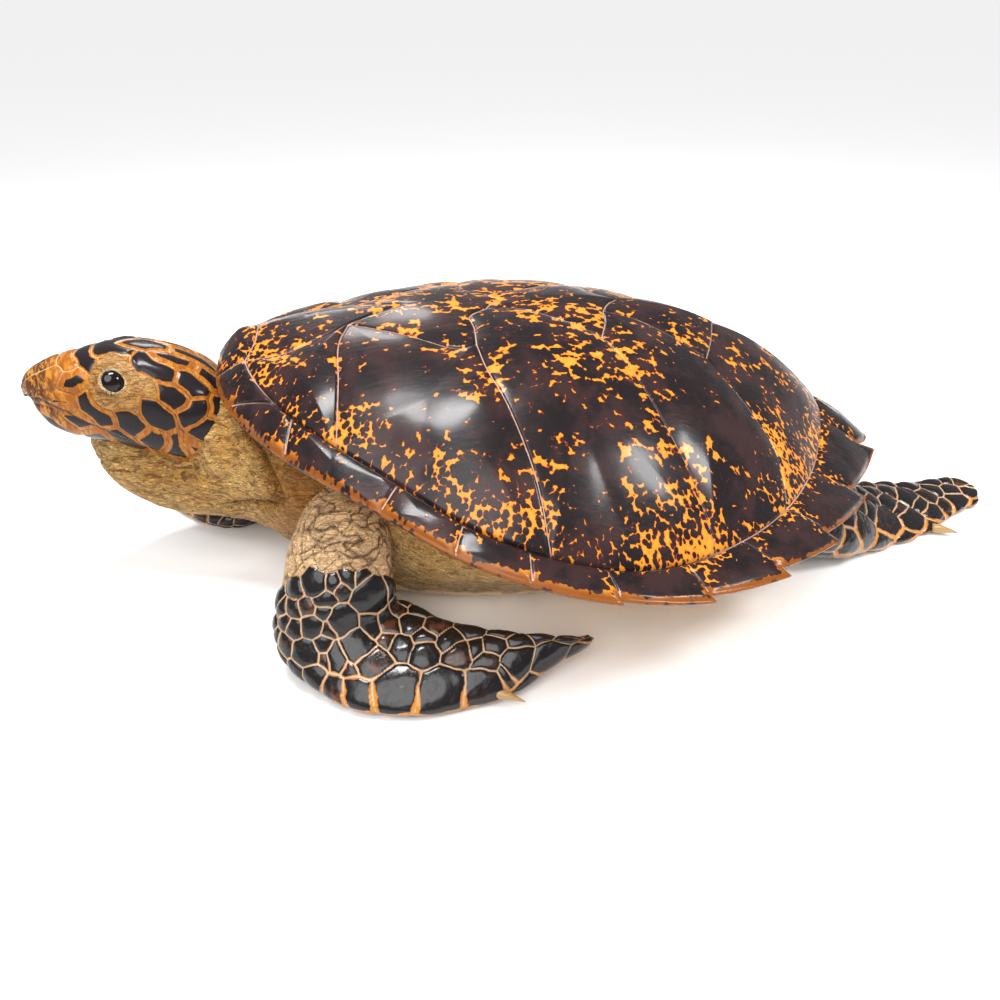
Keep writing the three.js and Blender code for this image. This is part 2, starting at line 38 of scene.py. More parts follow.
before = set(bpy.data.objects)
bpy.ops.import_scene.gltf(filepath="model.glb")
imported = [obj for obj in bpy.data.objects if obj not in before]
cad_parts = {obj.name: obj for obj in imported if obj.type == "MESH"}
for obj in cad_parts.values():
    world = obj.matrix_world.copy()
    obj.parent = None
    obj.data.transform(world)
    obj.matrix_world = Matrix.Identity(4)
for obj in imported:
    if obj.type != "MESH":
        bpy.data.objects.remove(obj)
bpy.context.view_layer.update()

# Lengths are millimetres until a mesh is finished. -X is towards the beak, -Y is the turtle's left.
CENTRE_X = 3.8
MM = 0.001

# Carapace: the crown of the dome and the rim of one half as x, half width, height.
CROWN_X = -57
CROWN_Z = 219
RIM = [
    (-273, 0, 182), (-270, 36, 175), (-252, 80, 168), (-219, 123, 160), (-163, 169, 144),
    (-94, 222, 125), (-20, 240, 106), (52, 234, 94), (117, 209, 90), (171, 171, 86),
    (215, 125, 83), (249, 76, 82), (273, 29, 86), (279, 0, 88),
]
# At the front, the side and the rear: where the dome turns out into the rim, how far above the rim,
# and how square the dome is.
FLARE_START = (0.894, 0.896, 0.885)
FLARE_RISE = (23, 5, 25)
DOME_POWER = (2.54, 2.17, 2.85)
FLARE_POWER = 1.15
LIP = 5
SEAM_DEPTH = 1.1
EDGE_LIFT = 0.7
OVERLAP_LIFT = 0.9
# Kinds of scute: rings of corners, and how much of the bulge they have.
SCUTES = {"keel": (18, 1.0), "costal": (22, 1.6), "marginal": (13, 1.0)}
# How far the rear corner of each marginal scute sticks out.
SERRATION = (0, 0, 0, 0, 0, 3, 6, 8, 10, 13, 19, 18)
RIM_SEAMS = (0.055, 0.125, 0.235, 0.318, 0.368, 0.417, 0.476, 0.544, 0.618, 0.699, 0.795, 0.905, 1)
INNER_SEAMS = (0.085, 0.182, 0.214, 0.322, 0.371, 0.419, 0.477, 0.547, 0.613, 0.693, 0.782, 0.912, 1)
# Where the seams at the rear of the four costal scutes reach the ring.
COSTAL_ENDS = (0.267, 0.435, 0.581, 0.693)
FRONT_CORNER = (-168, 20)
SECOND_CORNER = (-76, 70)
SECOND_REAR = (-62, 18)
THIRD_CORNER = (20, 61)
THIRD_REAR = (31, 22)
FOURTH_CORNER = (108, 56)

# Head and neck: x, top height, bottom height, half width.
HEAD = [
    (-416, 178, 169, 3), (-412, 184, 164, 8), (-408, 188, 152, 12), (-401, 192, 143, 16),
    (-388, 197, 135, 22), (-370, 200, 128, 29), (-350, 203, 120, 36), (-328, 202, 110, 41),
    (-306, 195, 100, 44), (-286, 183, 94, 45), (-274, 170, 98, 42),
]
HEAD_YAW = math.radians(6)
HEAD_PIVOT_X = -275
EYE = (-347, 25, 183)
EYE_RADIUS = 11.2
# The lids reach this far from the middle of the eyeball, and open a little behind and above it.
LID_REACH = 12.3
OPENING_SHIFT = 3.0
MOUTH = [
    (-412, 170), (-403, 172), (-385, 162), (-375, 155), (-354, 143), (-343, 136), (-333, 127), (-316, 116),
]
NECK = [
    (-382, 126, 112, 10), (-374, 138, 94, 22), (-360, 150, 76, 33), (-338, 160, 59, 42),
    (-312, 167, 50, 48), (-285, 168, 47, 54), (-258, 166, 41, 66), (-235, 160, 33, 86),
    (-212, 152, 26, 104), (-188, 142, 21, 114), (-166, 132, 18, 118),
]
TAIL = [
    (150, 84, 18, 108), (180, 84, 19, 102), (208, 80, 21, 88), (232, 74, 24, 62), (252, 66, 28, 34),
    (268, 56, 30, 18), (284, 47, 31, 9), (294, 41, 32, 4),
]
# Plastron: height, front x, rear x, half width of its level outlines.
PLASTRON = [
    (0, -202, 198, 96), (5, -209, 205, 108), (16, -214, 210, 122), (32, -212, 208, 138),
    (56, -202, 202, 160), (82, -190, 192, 178), (110, -182, 186, 186), (140, -178, 182, 188),
]
BELLY_SEAMS = np.array([-158, -95, -22, 55, 122])
BRIDGE_SEAM_HEIGHT = 40
# The fold where the throat hangs over the shoulder, as x and height.
THROAT_FOLD = [(-249, 146), (-240, 132), (-233, 117), (-229, 105), (-236, 97), (-251, 92), (-272, 82)]
# Flippers: a point on the leading edge, a point on the trailing edge and the thickness.
FRONT_LEFT = [
    ((-212, -82, 80), (-150, -88, 105), 54), ((-221, -112, 77), (-150, -118, 98), 53),
    ((-232, -138, 56), (-150, -142, 84), 47), ((-238, -155, 33), (-150, -155, 66), 39),
    ((-231, -173, 17), (-150, -156, 54), 31), ((-210, -194, 8), (-148, -153, 46), 25),
    ((-181, -216, 6), (-140, -150, 41), 20), ((-139, -227, 6), (-118, -168, 40), 16),
    ((-105, -224, 5), (-86, -184, 39), 13), ((-75, -219, 6), (-60, -192, 38), 10.5),
    ((-50, -205, 10), (-38, -197, 36), 8), ((-24, -193, 16), (-20, -196, 31), 6),
    ((-7, -188, 22), (-7, -188, 24), 2),
]
FRONT_RIGHT = [
    ((-212, 70, 74), (-172, 118, 108), 54), ((-232, 56, 52), (-190, 122, 92), 50),
    ((-252, 42, 28), (-208, 120, 72), 44), ((-272, 35, 10), (-228, 112, 58), 36),
    ((-294, 33, 4), (-252, 108, 48), 29), ((-318, 41, 3), (-278, 112, 43), 24),
    ((-342, 60, 3), (-306, 122, 40), 20), ((-364, 86, 3), (-334, 136, 38), 17),
    ((-383, 116, 4), (-358, 151, 36), 14), ((-398, 145, 6), (-378, 166, 33), 11),
    ((-407, 170, 10), (-393, 178, 28), 8), ((-411, 188, 15), (-404, 190, 24), 5),
    ((-413, 200, 19), (-412, 200, 21), 2),
]
HIND_LEFT = [
    ((205, -118, 30), (190, -55, 48), 46), ((235, -112, 18), (225, -48, 44), 40),
    ((262, -102, 10), (258, -38, 38), 32), ((292, -90, 5), (292, -21, 28), 24),
    ((321, -82, 4), (324, -16, 22), 17), ((349, -71, 4), (353, -12, 18), 13),
    ((376, -56, 4), (382, -7, 15), 11), ((400, -44, 5), (403, -3, 14), 9),
    ((415, -38, 6), (417, -10, 12), 6), ((423, -26, 9), (423, -22, 10), 2),
]
HIND_RIGHT = [
    ((188, 120, 30), (200, 55, 48), 46), ((214, 122, 18), (232, 58, 44), 40),
    ((240, 126, 10), (260, 64, 38), 32), ((264, 135, 4), (290, 66, 28), 24),
    ((288, 144, 3), (316, 82, 22), 17), ((309, 154, 3), (338, 102, 18), 13),
    ((326, 167, 3), (352, 124, 15), 11), ((338, 180, 4), (359, 146, 14), 9),
    ((346, 186, 6), (362, 164, 12), 6), ((356, 182, 9), (359, 178, 10), 2),
]

# Head plates of one side, each from a start to an end on the surface, and how dark its middle is:
# 1 is a black plate, 0 plain amber horn and -1 bare skin.
HEAD_PLATES = [
    ((-367, 6, 200), (-362, 18, 196), 1.0),
    ((-355, 7, 203), (-338, 15, 201), 1.0),
    ((-330, 0, 204), (-312, 0, 199), 0.9),
    ((-300, 0, 195), (-282, 0, 184), 0.7),
    ((-326, 22, 196), (-309, 29, 186), 1.0),
    ((-295, 28, 181), (-287, 33, 172), 1.0),
    ((-313, 37, 177), (-303, 40, 170), 0.9),
    ((-324, 40, 169), (-315, 43, 155), 1.0),
    ((-297, 43, 157), (-287, 40, 163), 1.0),
    ((-277, 34, 161), (-277, 38, 155), 0.8),
    ((-293, 45, 141), (-283, 43, 147), 1.0),
    ((-343, 37, 162), (-339, 38, 151), 1.0),
    ((-367, 30, 170), (-357, 33, 159), 0.8),
    ((-379, 21, 187), (-370, 22, 189), 0.5),
    ((-404, 12, 183), (-387, 16, 190), 0.1),
    ((-405, 2, 189), (-390, 5, 196), 0.15),
    ((-380, 6, 198), (-376, 14, 195), 0.35),
    ((-400, 14, 172), (-384, 24, 170), 0.15),
    ((-383, 22, 156), (-376, 24, 152), 0.7),
    ((-400, 12, 160), (-392, 15, 148), 0.0),
    ((-370, 22, 140), (-365, 23, 138), 0.5),
    ((-352, 30, 141), (-345, 30, 130), 1.0),
    ((-329, 39, 139), (-321, 40, 137), 0.8),
    ((-311, 42, 137), (-313, 41, 130), 0.8),
    ((-300, 43, 135), (-298, 43, 133), 0.4),
    ((-310, 14, 196), (-292, 15, 187), 0.6),
    ((-286, 17, 181), (-277, 21, 172), 0.6),
    ((-354, 33, 184), (-340, 33, 184), -1.0),
    ((-356, 33, 172), (-335, 38, 172), -1.0),
    ((-326, 36, 182), (-321, 37, 178), -1.0),
    ((-346, 20, 198), (-338, 22, 197), 0.0),
    ((-330, 30, 114), (-318, 30, 110), 0.0),
    ((-279, 42, 132), (-292, 36, 112), -1.0),
]

# Scales of one face of a flipper: share of its length, angle from the leading edge and size. The
# size is half the width of a scale in millimetres.
FRONT_SCALES = [
    (0.19, 0.35, 5), (0.21, 0.6, 5), (0.235, 0.25, 5), (0.24, 0.75, 6), (0.265, 0.4, 6),
    (0.185, 1.05, 6), (0.22, 1.0, 6), (0.225, 1.25, 6), (0.265, 0.97, 8), (0.29, 0.6, 9), (0.335, 0.9, 11),
    (0.31, 0.15, 7), (0.36, 0.3, 8), (0.4, 0.55, 10), (0.45, 0.5, 11), (0.385, 1.05, 5), (0.41, 1.2, 9),
    (0.185, 1.38, 10), (0.2, 1.7, 5), (0.2, 2.0, 6), (0.215, 1.85, 5), (0.205, 2.15, 6), (0.22, 1.55, 7),
    (0.25, 1.5, 6), (0.275, 1.25, 9), (0.3, 1.75, 11), (0.31, 1.48, 6), (0.34, 1.28, 7), (0.265, 2.35, 14),
    (0.27, 2.8, 8), (0.395, 1.68, 6), (0.44, 1.48, 13), (0.4, 2.0, 9), (0.46, 1.1, 8),
    (0.495, 0.65, 14), (0.49, 1.3, 13), (0.495, 1.75, 6), (0.47, 2.08, 9), (0.45, 2.6, 8), (0.44, 3.0, 7),
    (0.545, 0.85, 18), (0.535, 1.72, 8), (0.535, 2.28, 9), (0.535, 2.75, 8), (0.57, 1.75, 8),
    (0.565, 2.05, 7), (0.58, 2.45, 8), (0.615, 0.85, 19), (0.61, 2.15, 7), (0.63, 1.85, 8),
    (0.64, 2.65, 7), (0.655, 2.05, 5),
    (0.685, 0.9, 16), (0.685, 1.68, 8), (0.69, 2.2, 8), (0.7, 2.75, 7), (0.73, 1.38, 7), (0.745, 1.7, 12),
    (0.74, 2.45, 9), (0.79, 2.9, 7), (0.8, 0.6, 9), (0.83, 1.7, 15), (0.87, 2.9, 7), (0.93, 1.5, 10),
    (0.97, 2.4, 7),
]
HIND_SCALES = [
    (0.04, 0.7, 12), (0.05, 1.7, 9), (0.06, 2.5, 9), (0.12, 0.5, 10), (0.14, 1.35, 8), (0.15, 2.0, 7),
    (0.2, 0.95, 13), (0.335, 1.1, 13), (0.46, 0.95, 12), (0.575, 1.05, 9), (0.74, 0.85, 13), (0.66, 1.0, 6),
    (0.54, 1.45, 8), (0.43, 1.35, 5), (0.28, 1.5, 8), (0.39, 1.7, 7), (0.5, 1.85, 10), (0.24, 1.8, 5),
    (0.31, 1.85, 5), (0.29, 2.15, 5), (0.35, 2.1, 5), (0.25, 2.5, 6), (0.36, 2.55, 5), (0.43, 2.2, 6),
    (0.59, 1.7, 7), (0.64, 1.9, 6), (0.54, 2.45, 7), (0.45, 2.8, 6), (0.66, 2.5, 7), (0.73, 1.55, 8),
    (0.75, 2.3, 6), (0.84, 2.2, 8), (0.87, 1.2, 9), (0.95, 2.0, 6), (0.3, 0.25, 9), (0.42, 0.2, 8),
    (0.54, 0.25, 8), (0.86, 0.3, 8),
]
# Stations, mesh corners around and along, scales, seed and the sign of the upper side's angles.
FLIPPERS = {
    "front_flipper_left": (FRONT_LEFT, (280, 330), FRONT_SCALES, 11, -1),
    "front_flipper_right": (FRONT_RIGHT, (220, 280), FRONT_SCALES, 23, 1),
    "hind_flipper_left": (HIND_LEFT, (220, 260), HIND_SCALES, 37, -1),
    "hind_flipper_right": (HIND_RIGHT, (180, 200), HIND_SCALES, 41, 1),
}
# The base of each flipper's claw and the way it points.
CLAWS = {
    "front_flipper_left": ((-79, -221, 10), (0.85, -0.42, 0)),
    "front_flipper_right": ((-379, 113, 7), (-0.75, -0.5, 0.05)),
    "hind_flipper_left": ((353, -76, 7), (0.92, -0.35, 0)),
    "hind_flipper_right": ((311, 158, 6), (0.5, 0.8, 0)),
}
CLAW_LENGTH = 24
CLAW_RADIUS = 4.2
# Where the bare arm ends and where the leading edge turns golden, as shares of the front flipper's length.
ARM_END = 0.165
GOLD_FROM = 0.36
# Scales are shared out on a flipper at least this thick on either side of its middle.
SWOLLEN_HALF = 24
GROUND_GAP = 0.4
# Farther than any seam.
FAR = 1e3
CAMERA_PLACE = (-142.96, -622.23, 436.32)
CAMERA_TARGET = (-48.15, 0, 29.12)


# ---------- settings ----------


def length(name, text, default, low, high):
    return bpy.props.FloatProperty(name=name, description=text, default=default, min=low, max=high)


def colour(name, text, default):
    return bpy.props.FloatVectorProperty(
        name=name, description=text, default=default, size=4, min=0.0, max=1.0, subtype="COLOR"
    )


class TurtleShell(bpy.types.PropertyGroup):
    """Sizes and colours of the shell."""

    bulge: length("Bulge", "How far the middle of a scute stands above its seams, in millimetres", 2.4, 0, 6)
    amber_amount: length("Amber", "How much more of the shell the amber splashes cover", 0.0, -0.5, 0.5)
    dark: colour("Dark horn", "Colour of the dark horn", (0.012, 0.008, 0.009, 1))
    amber: colour("Amber horn", "Colour of the splashes", (0.64, 0.21, 0.014, 1))
    belly: colour("Belly horn", "Colour of the plastron", (0.70, 0.40, 0.13, 1))


class TurtleSkin(bpy.types.PropertyGroup):
    """Sizes and colours of the skin, the plates and the scales."""

    scale_height: length("Scale height", "How far scales stand above the skin, in millimetres", 1.2, 0, 3)
    skin: colour("Skin", "Colour of the bare skin", (0.87, 0.465, 0.112, 1))
    # The crease colour is painted shade in the depth of wrinkles and folds.
    crease: colour("Crease", "Colour in the depth of a wrinkle", (0.085, 0.030, 0.006, 1))
    plate: colour("Plates", "Colour of the dark plates and scales", (0.009, 0.007, 0.008, 1))
    border: colour("Borders", "Colour of the amber borders of plates", (0.50, 0.20, 0.024, 1))


class TurtleStage(bpy.types.PropertyGroup):
    """Floor, lamps and camera."""

    floor: colour("Floor", "Colour of the floor", (0.97, 0.97, 0.97, 1))
    lamp_power: bpy.props.FloatProperty(
        name="Lamp", description="Power of the overhead lamp", default=15.0, min=0.0, unit="POWER"
    )
    sun_strength: bpy.props.FloatProperty(
        name="Front light", description="Strength of the wide light from the front", default=2.5, min=0.0
    )
    lens: bpy.props.FloatProperty(
        name="Lens", description="Focal length of the camera", default=29.17, min=10.0, unit="CAMERA"
    )


SETTINGS = {"turtle_shell": TurtleShell, "turtle_skin": TurtleSkin, "turtle_stage": TurtleStage}


# ---------- shapes ----------


def through(points, shares):
    """Places at the given shares of a smooth curve through the points."""
    points = np.asarray(points, float)
    if points.ndim == 1:
        points = points[:, None]
    padded = np.vstack([2 * points[0] - points[1], points, 2 * points[-1] - points[-2]])
    place = np.clip(np.asarray(shares, float), 0, 1) * (len(points) - 1)
    index = np.minimum(place.astype(int), len(points) - 2)
    part = (place - index)[..., None]
    before, start, end, after = (padded[index + k] for k in range(4))
    leave = (end - before) / 2
    arrive = (after - start) / 2
    square = 3 * (end - start) - 2 * leave - arrive
    cube = 2 * (start - end) + leave + arrive
    return start + leave * part + square * part**2 + cube * part**3


def spread(values, shares):
    return np.interp(np.clip(shares, 0, 1) * (len(values) - 1), range(len(values)), values)


def smooth(value, low=0.0, high=1.0):
    """Goes from 0 to 1 as the value goes from low to high, level at both ends."""
    part = np.clip((np.asarray(value, float) - low) / (high - low), 0, 1)
    return part * part * (3 - 2 * part)


def fade(value, low, high):
    """Goes from 1 to 0 as the value goes from low to high, level at both ends."""
    return 1 - smooth(value, low, high)


def bell(value):
    """1 where the value is 0, and less on either side of it."""
    return np.exp(-(value**2))


def bowed(value, power):
    """Makes a round outline squarer: the power is below 1."""
    return np.sign(value) * np.abs(value) ** power


def ripple(places, size, seed=0.0):
    """Soft random relief of about -1 to 1 whose bumps are `size` millimetres apart."""
    return np.array([noise.noise(Vector(place) / size + Vector((seed, 3 * seed, -seed))) for place in places])


def creases(places, size, seed, width=0.17):
    """Folds that cross each other: 1 in the depth of a fold, 0 between folds."""
    x, y, z = places.T
    deepest = np.zeros(len(places))
    for degrees in (-38, 22):
        turn = math.radians(degrees)
        along = x * math.cos(turn) + z * math.sin(turn)
        across = z * math.cos(turn) - x * math.sin(turn)
        field = ripple(np.stack([along / 2.4, y * 0.8, across], axis=-1), size, seed + degrees)
        deepest = np.maximum(deepest, fade(np.abs(field), 0, width))
    return deepest


def sheet(bm, columns, rows):
    """A new grid in bm: its corners, and the column and row of each."""
    made = bmesh.ops.create_grid(bm, x_segments=columns, y_segments=rows, size=1)["verts"]
    place = np.array([vertex.co[:2] for vertex in made])
    cells = np.rint((place + 1) / 2 * (columns, rows)).astype(int)
    return made, cells[:, 0], cells[:, 1]


def put(vertices, places, **values):
    """Moves corners to places in millimetres and stores numbers for them in each named layer."""
    for vertex, place in zip(vertices, places):
        vertex.co = ((place[0] - CENTRE_X) * MM, place[1] * MM, place[2] * MM)
    for layer, numbers in values.items():
        numbers = np.broadcast_to(np.asarray(numbers, float), len(vertices))
        for vertex, number in zip(vertices, numbers):
            vertex[LAYERS[layer]] = number


LAYERS = {}


def new_shape(*names):
    """A bmesh with the named number layers."""
    bm = bmesh.new()
    LAYERS.clear()
    for name in names:
        LAYERS[name] = bm.verts.layers.float.new(name)
    return bm


def finish(bm, name, node, material):
    """Closes the shape, turns it into a piece and lets it stand for its solid."""
    bmesh.ops.remove_doubles(bm, verts=bm.verts, dist=0.00001)
    bmesh.ops.dissolve_degenerate(bm, edges=bm.edges, dist=0.000002)
    bmesh.ops.recalc_face_normals(bm, faces=bm.faces)
    for face in bm.faces:
        face.smooth = True
    mesh = bpy.data.meshes.new(name)
    bm.to_mesh(mesh)
    bm.free()
    mesh.materials.append(material)
    piece = bpy.data.objects.new(name, mesh)
    bpy.context.scene.collection.objects.link(piece)
    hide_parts(node)
    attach(piece, "root")


# ---------- the dome and its seams ----------

RIM_SHARES = np.linspace(0, 1, 801)
RIM_SAMPLES = through(RIM, RIM_SHARES)
RIM_ANGLES = np.arctan2(np.abs(RIM_SAMPLES[:, 1]), CROWN_X - RIM_SAMPLES[:, 0])


def seen_from_crown(x, y):
    """For each place, the share and point of the rim beyond it, and how far out towards it the place is."""
    share = np.interp(np.arctan2(np.abs(y), CROWN_X - x), RIM_ANGLES, RIM_SHARES)
    rim = through(RIM, share)
    reach = np.hypot(x - CROWN_X, y) / np.hypot(rim[..., 0] - CROWN_X, rim[..., 1])
    return share, rim, reach


def rim_reach(x, y):
    """Distance from the crown as a share of the rim's."""
    return seen_from_crown(x, y)[2]


def dome_height(x, y):
    share, rim, reach = seen_from_crown(x, y)
    start = spread(FLARE_START, share)
    rise = spread(FLARE_RISE, share)
    shoulder = rim[..., 2] + rise
    inside = np.clip(reach / start, 0, 1) ** spread(DOME_POWER, share)
    flare = np.clip((reach - start) / (1 - start), 0, 1.3) ** FLARE_POWER
    return np.where(reach < start, shoulder + (CROWN_Z - shoulder) * (1 - inside), shoulder - rise * flare)


def dome_normal(x, y, step=2.5):
    across = (dome_height(x + step, y) - dome_height(x - step, y)) / (2 * step)
    along = (dome_height(x, y + step) - dome_height(x, y - step)) / (2 * step)
    normal = np.stack([-across, -along, np.ones_like(across)], axis=-1)
    return normal / np.linalg.norm(normal, axis=-1, keepdims=True)


def drawn(rim, scale):
    """Rim points seen from above, drawn towards the crown or away from it."""
    return np.stack([CROWN_X + (rim[..., 0] - CROWN_X) * scale, rim[..., 1] * scale], axis=-1)


def inner_point(share):
    """Where the dome meets the marginal ring."""
    return drawn(through(RIM, share), spread(FLARE_START, share))


def rim_point(share, out=0.0):
    rim = through(RIM, share)
    return drawn(rim, 1 + out / np.hypot(rim[..., 0] - CROWN_X, rim[..., 1]))


# Distance between the corners along a seam, and corners round half the ring and half the rim.
SEAM_STEP = 2.8
INNER_CORNERS = 290
RIM_CORNERS = 320
# Corners farther out than this share of the way to the rim lie on the free edge.
FREE_REACH = 0.985
# A serration shorter than this makes no tip of its own.
LEAST_TIP = 0.05
KNOTS = sorted({*INNER_SEAMS, *COSTAL_ENDS})
INNER = [tuple(inner_point(np.array(share))) for share in INNER_SEAMS]
OUTER = [tuple(rim_point(np.array(share))) for share in RIM_SEAMS]
FRONT_RIM = [tuple(point) for point in rim_point(np.linspace(0, RIM_SEAMS[0], 18))]


def inner_line(start, end):
    """The line between the marginal ring and the dome, with the same points for both its sides."""
    knots = [knot for knot in KNOTS if start - 1e-9 <= knot <= end + 1e-9]
    shares = [knots[0]]
    for low, high in zip(knots, knots[1:]):
        count = max(2, round((high - low) * INNER_CORNERS))
        shares.extend(np.linspace(low, high, count + 1)[1:])
    return [tuple(point) for point in inner_point(np.array(shares))]


def seam(*points):
    dense = through(points, np.linspace(0, 1, 200))
    count = max(3, round(np.linalg.norm(np.diff(dense, axis=0), axis=1).sum() / SEAM_STEP))
    return [tuple(point) for point in through(points, np.linspace(0, 1, count + 1))]


def back(points):
    return list(reversed(points))


def mirrored(points):
    return [(x, -y) for x, y in points]


def outline(*lines):
    return [point for line in lines for point in line[:-1]]


def keel_outline(*lines):
    half = [*outline(*lines), lines[-1][-1]]
    return [*half, *back(mirrored(half))[1:-1]]


def marginal_rim(number):
    start, end = RIM_SEAMS[number - 1], RIM_SEAMS[number]
    is_last = number == len(RIM_SEAMS) - 1
    part = np.linspace(0, 1, max(4, round((end - start) * RIM_CORNERS)) + 1)
    grown = SERRATION[number - 1] * (3.4 * part * (1 - part) if is_last else part)
    return [tuple(point) for point in rim_point(start + (end - start) * part, grown)]


def scute_outlines():
    """Outlines of the keel, costal and marginal scutes of the right half."""
    ring_shares = (INNER_SEAMS[0], *COSTAL_ENDS, 1)
    ring = [inner_line(start, end) for start, end in zip(ring_shares, ring_shares[1:])]
    ends = [tuple(inner_point(np.array(share))) for share in COSTAL_ENDS]
    nuchal = seam((-238, 0), (-240, 18), INNER[0])
    first_side = seam(INNER[0], (-216, 40), (-190, 33), FRONT_CORNER)
    first_rear = seam(FRONT_CORNER, (-152, 12), (-128, 0))
    second_side = seam(FRONT_CORNER, (-149, 32), (-120, 52), (-92, 71), SECOND_CORNER)
    second_back = seam(SECOND_CORNER, (-75, 48), (-76, 30), SECOND_REAR)
    second_rear = seam(SECOND_REAR, (-56, 7), (-50, 0))
    third_side = seam(SECOND_REAR, (-32, 24), (-10, 40), THIRD_CORNER)
    third_back = seam(THIRD_CORNER, (28, 40), THIRD_REAR)
    third_rear = seam(THIRD_REAR, (38, 9), (47, 0))
    fourth_side = seam(THIRD_REAR, (55, 28), (82, 42), FOURTH_CORNER)
    fourth_rear = seam(FOURTH_CORNER, (121, 30), (133, 0))
    costal_12 = seam(FRONT_CORNER, (-176, 46), (-177, 86), ends[0])
    costal_23 = seam(SECOND_CORNER, (-72, 96), (-62, 126), (-50, 174), ends[1])
    costal_34 = seam(THIRD_CORNER, (34, 89), (52, 134), (63, 160), ends[2])
    costal_rear = seam(FOURTH_CORNER, (119, 73), (137, 94), (150, 116), ends[3])
    keel = [
        keel_outline(FRONT_RIM, seam(OUTER[0], INNER[0]), back(nuchal)),
        keel_outline(nuchal, first_side, first_rear),
        keel_outline(back(first_rear), second_side, second_back, second_rear),
        keel_outline(back(second_rear), third_side, third_back, third_rear),
        keel_outline(back(third_rear), fourth_side, fourth_rear),
        keel_outline(back(fourth_rear), costal_rear, ring[4]),
    ]
    costal = [
        outline(back(first_side), ring[0], back(costal_12)),
        outline(back(second_side), costal_12, ring[1], back(costal_23)),
        outline(back(third_side), back(second_back), costal_23, ring[2], back(costal_34)),
        outline(back(fourth_side), back(third_back), costal_34, ring[3], back(costal_rear)),
    ]
    marginal = []
    for number in range(1, len(RIM_SEAMS)):
        edge = marginal_rim(number)
        inside = back(inner_line(INNER_SEAMS[number - 1], INNER_SEAMS[number]))
        fore = seam(INNER[number - 1], OUTER[number - 1])
        aft = seam(OUTER[number], INNER[number])
        tip = [edge[-1]] if math.dist(edge[-1], aft[0]) > LEAST_TIP else []
        marginal.append([*outline(inside, fore, edge), *tip, *aft[:-1]])
    return keel, costal, marginal


def seam_runs(points):
    """Splits a closed outline into the seams that run outwards, those along a ring and the free edge."""
    closed = np.array([*points, points[0]])
    reach = rim_reach(closed[:, 0], closed[:, 1])
    sides, rings, edge = [], [], []
    for start, end, here, there in zip(closed, closed[1:], reach, reach[1:]):
        is_free = min(here, there) > FREE_REACH
        is_side = abs(here - there) > 0.01
        (edge if is_free else sides if is_side else rings).append((start, end))
    return sides, rings, edge


def distance_to_pieces(x, y, pieces):
    """Distance in plan to the nearest of some straight pieces."""
    best = np.full(len(x), FAR)
    for (sx, sy), (ex, ey) in pieces:
        dx, dy = ex - sx, ey - sy
        part = np.clip(((x - sx) * dx + (y - sy) * dy) / max(dx * dx + dy * dy, 1e-9), 0, 1)
        best = np.minimum(best, np.hypot(x - sx - part * dx, y - sy - part * dy))
    return best


def marginal_amber(x_out, share, reach, from_edge, from_side, from_ring):
    """How much amber a marginal scute has: along its free edge, its seams and its rear side."""
    band = np.interp(share, [0, 0.2, 0.42, 0.6, 0.75, 1], [3, 6, 6, 3.4, 2, 1.8])
    strength = np.interp(share, [0, 0.1, 0.3, 0.4, 0.6, 1], [0.45, 0.6, 0.5, 0.75, 0.8, 0.7])
    amber = strength * fade(from_edge, band * 0.35, band * 1.4) - 0.31
    rear_side = smooth(x_out, -4, 12) * smooth(reach, 0.93, 1.0)
    amber += fade(from_side, 1, 16) * (0.22 + 0.2 * rear_side)
    return amber + fade(from_ring, 2, 15) * np.interp(share, [0, 0.4, 0.6, 0.8], [0.1, 0.12, 0.24, 0.36])


def dome_amber(kind, x, y, near_ring, from_seam):
    """How much amber a keel or costal scute has: near the ring, along its seams and by its place."""
    amber = (0.15 + 0.04 * smooth(x, -20, 20)) * near_ring - 0.20
    amber += 0.14 * fade(from_seam, 4, 34) + 0.04 * fade(from_seam, 1, 12)
    if kind == "keel":
        return amber + np.interp(x, [-210, -160, -100, 0, 150], [0.02, 0.04, 0.12, 0.10, -0.03])
    stations = [-230, -170, -110, -40, 20, 70, 110, 160]
    amber += np.interp(x, stations, [-0.11, -0.05, -0.02, -0.07, 0.05, 0.04, -0.21, -0.30])
    return amber + 0.17 * fade(np.abs(y), 95, 130) * smooth(x, -130, -100) * fade(x, -20, 30)


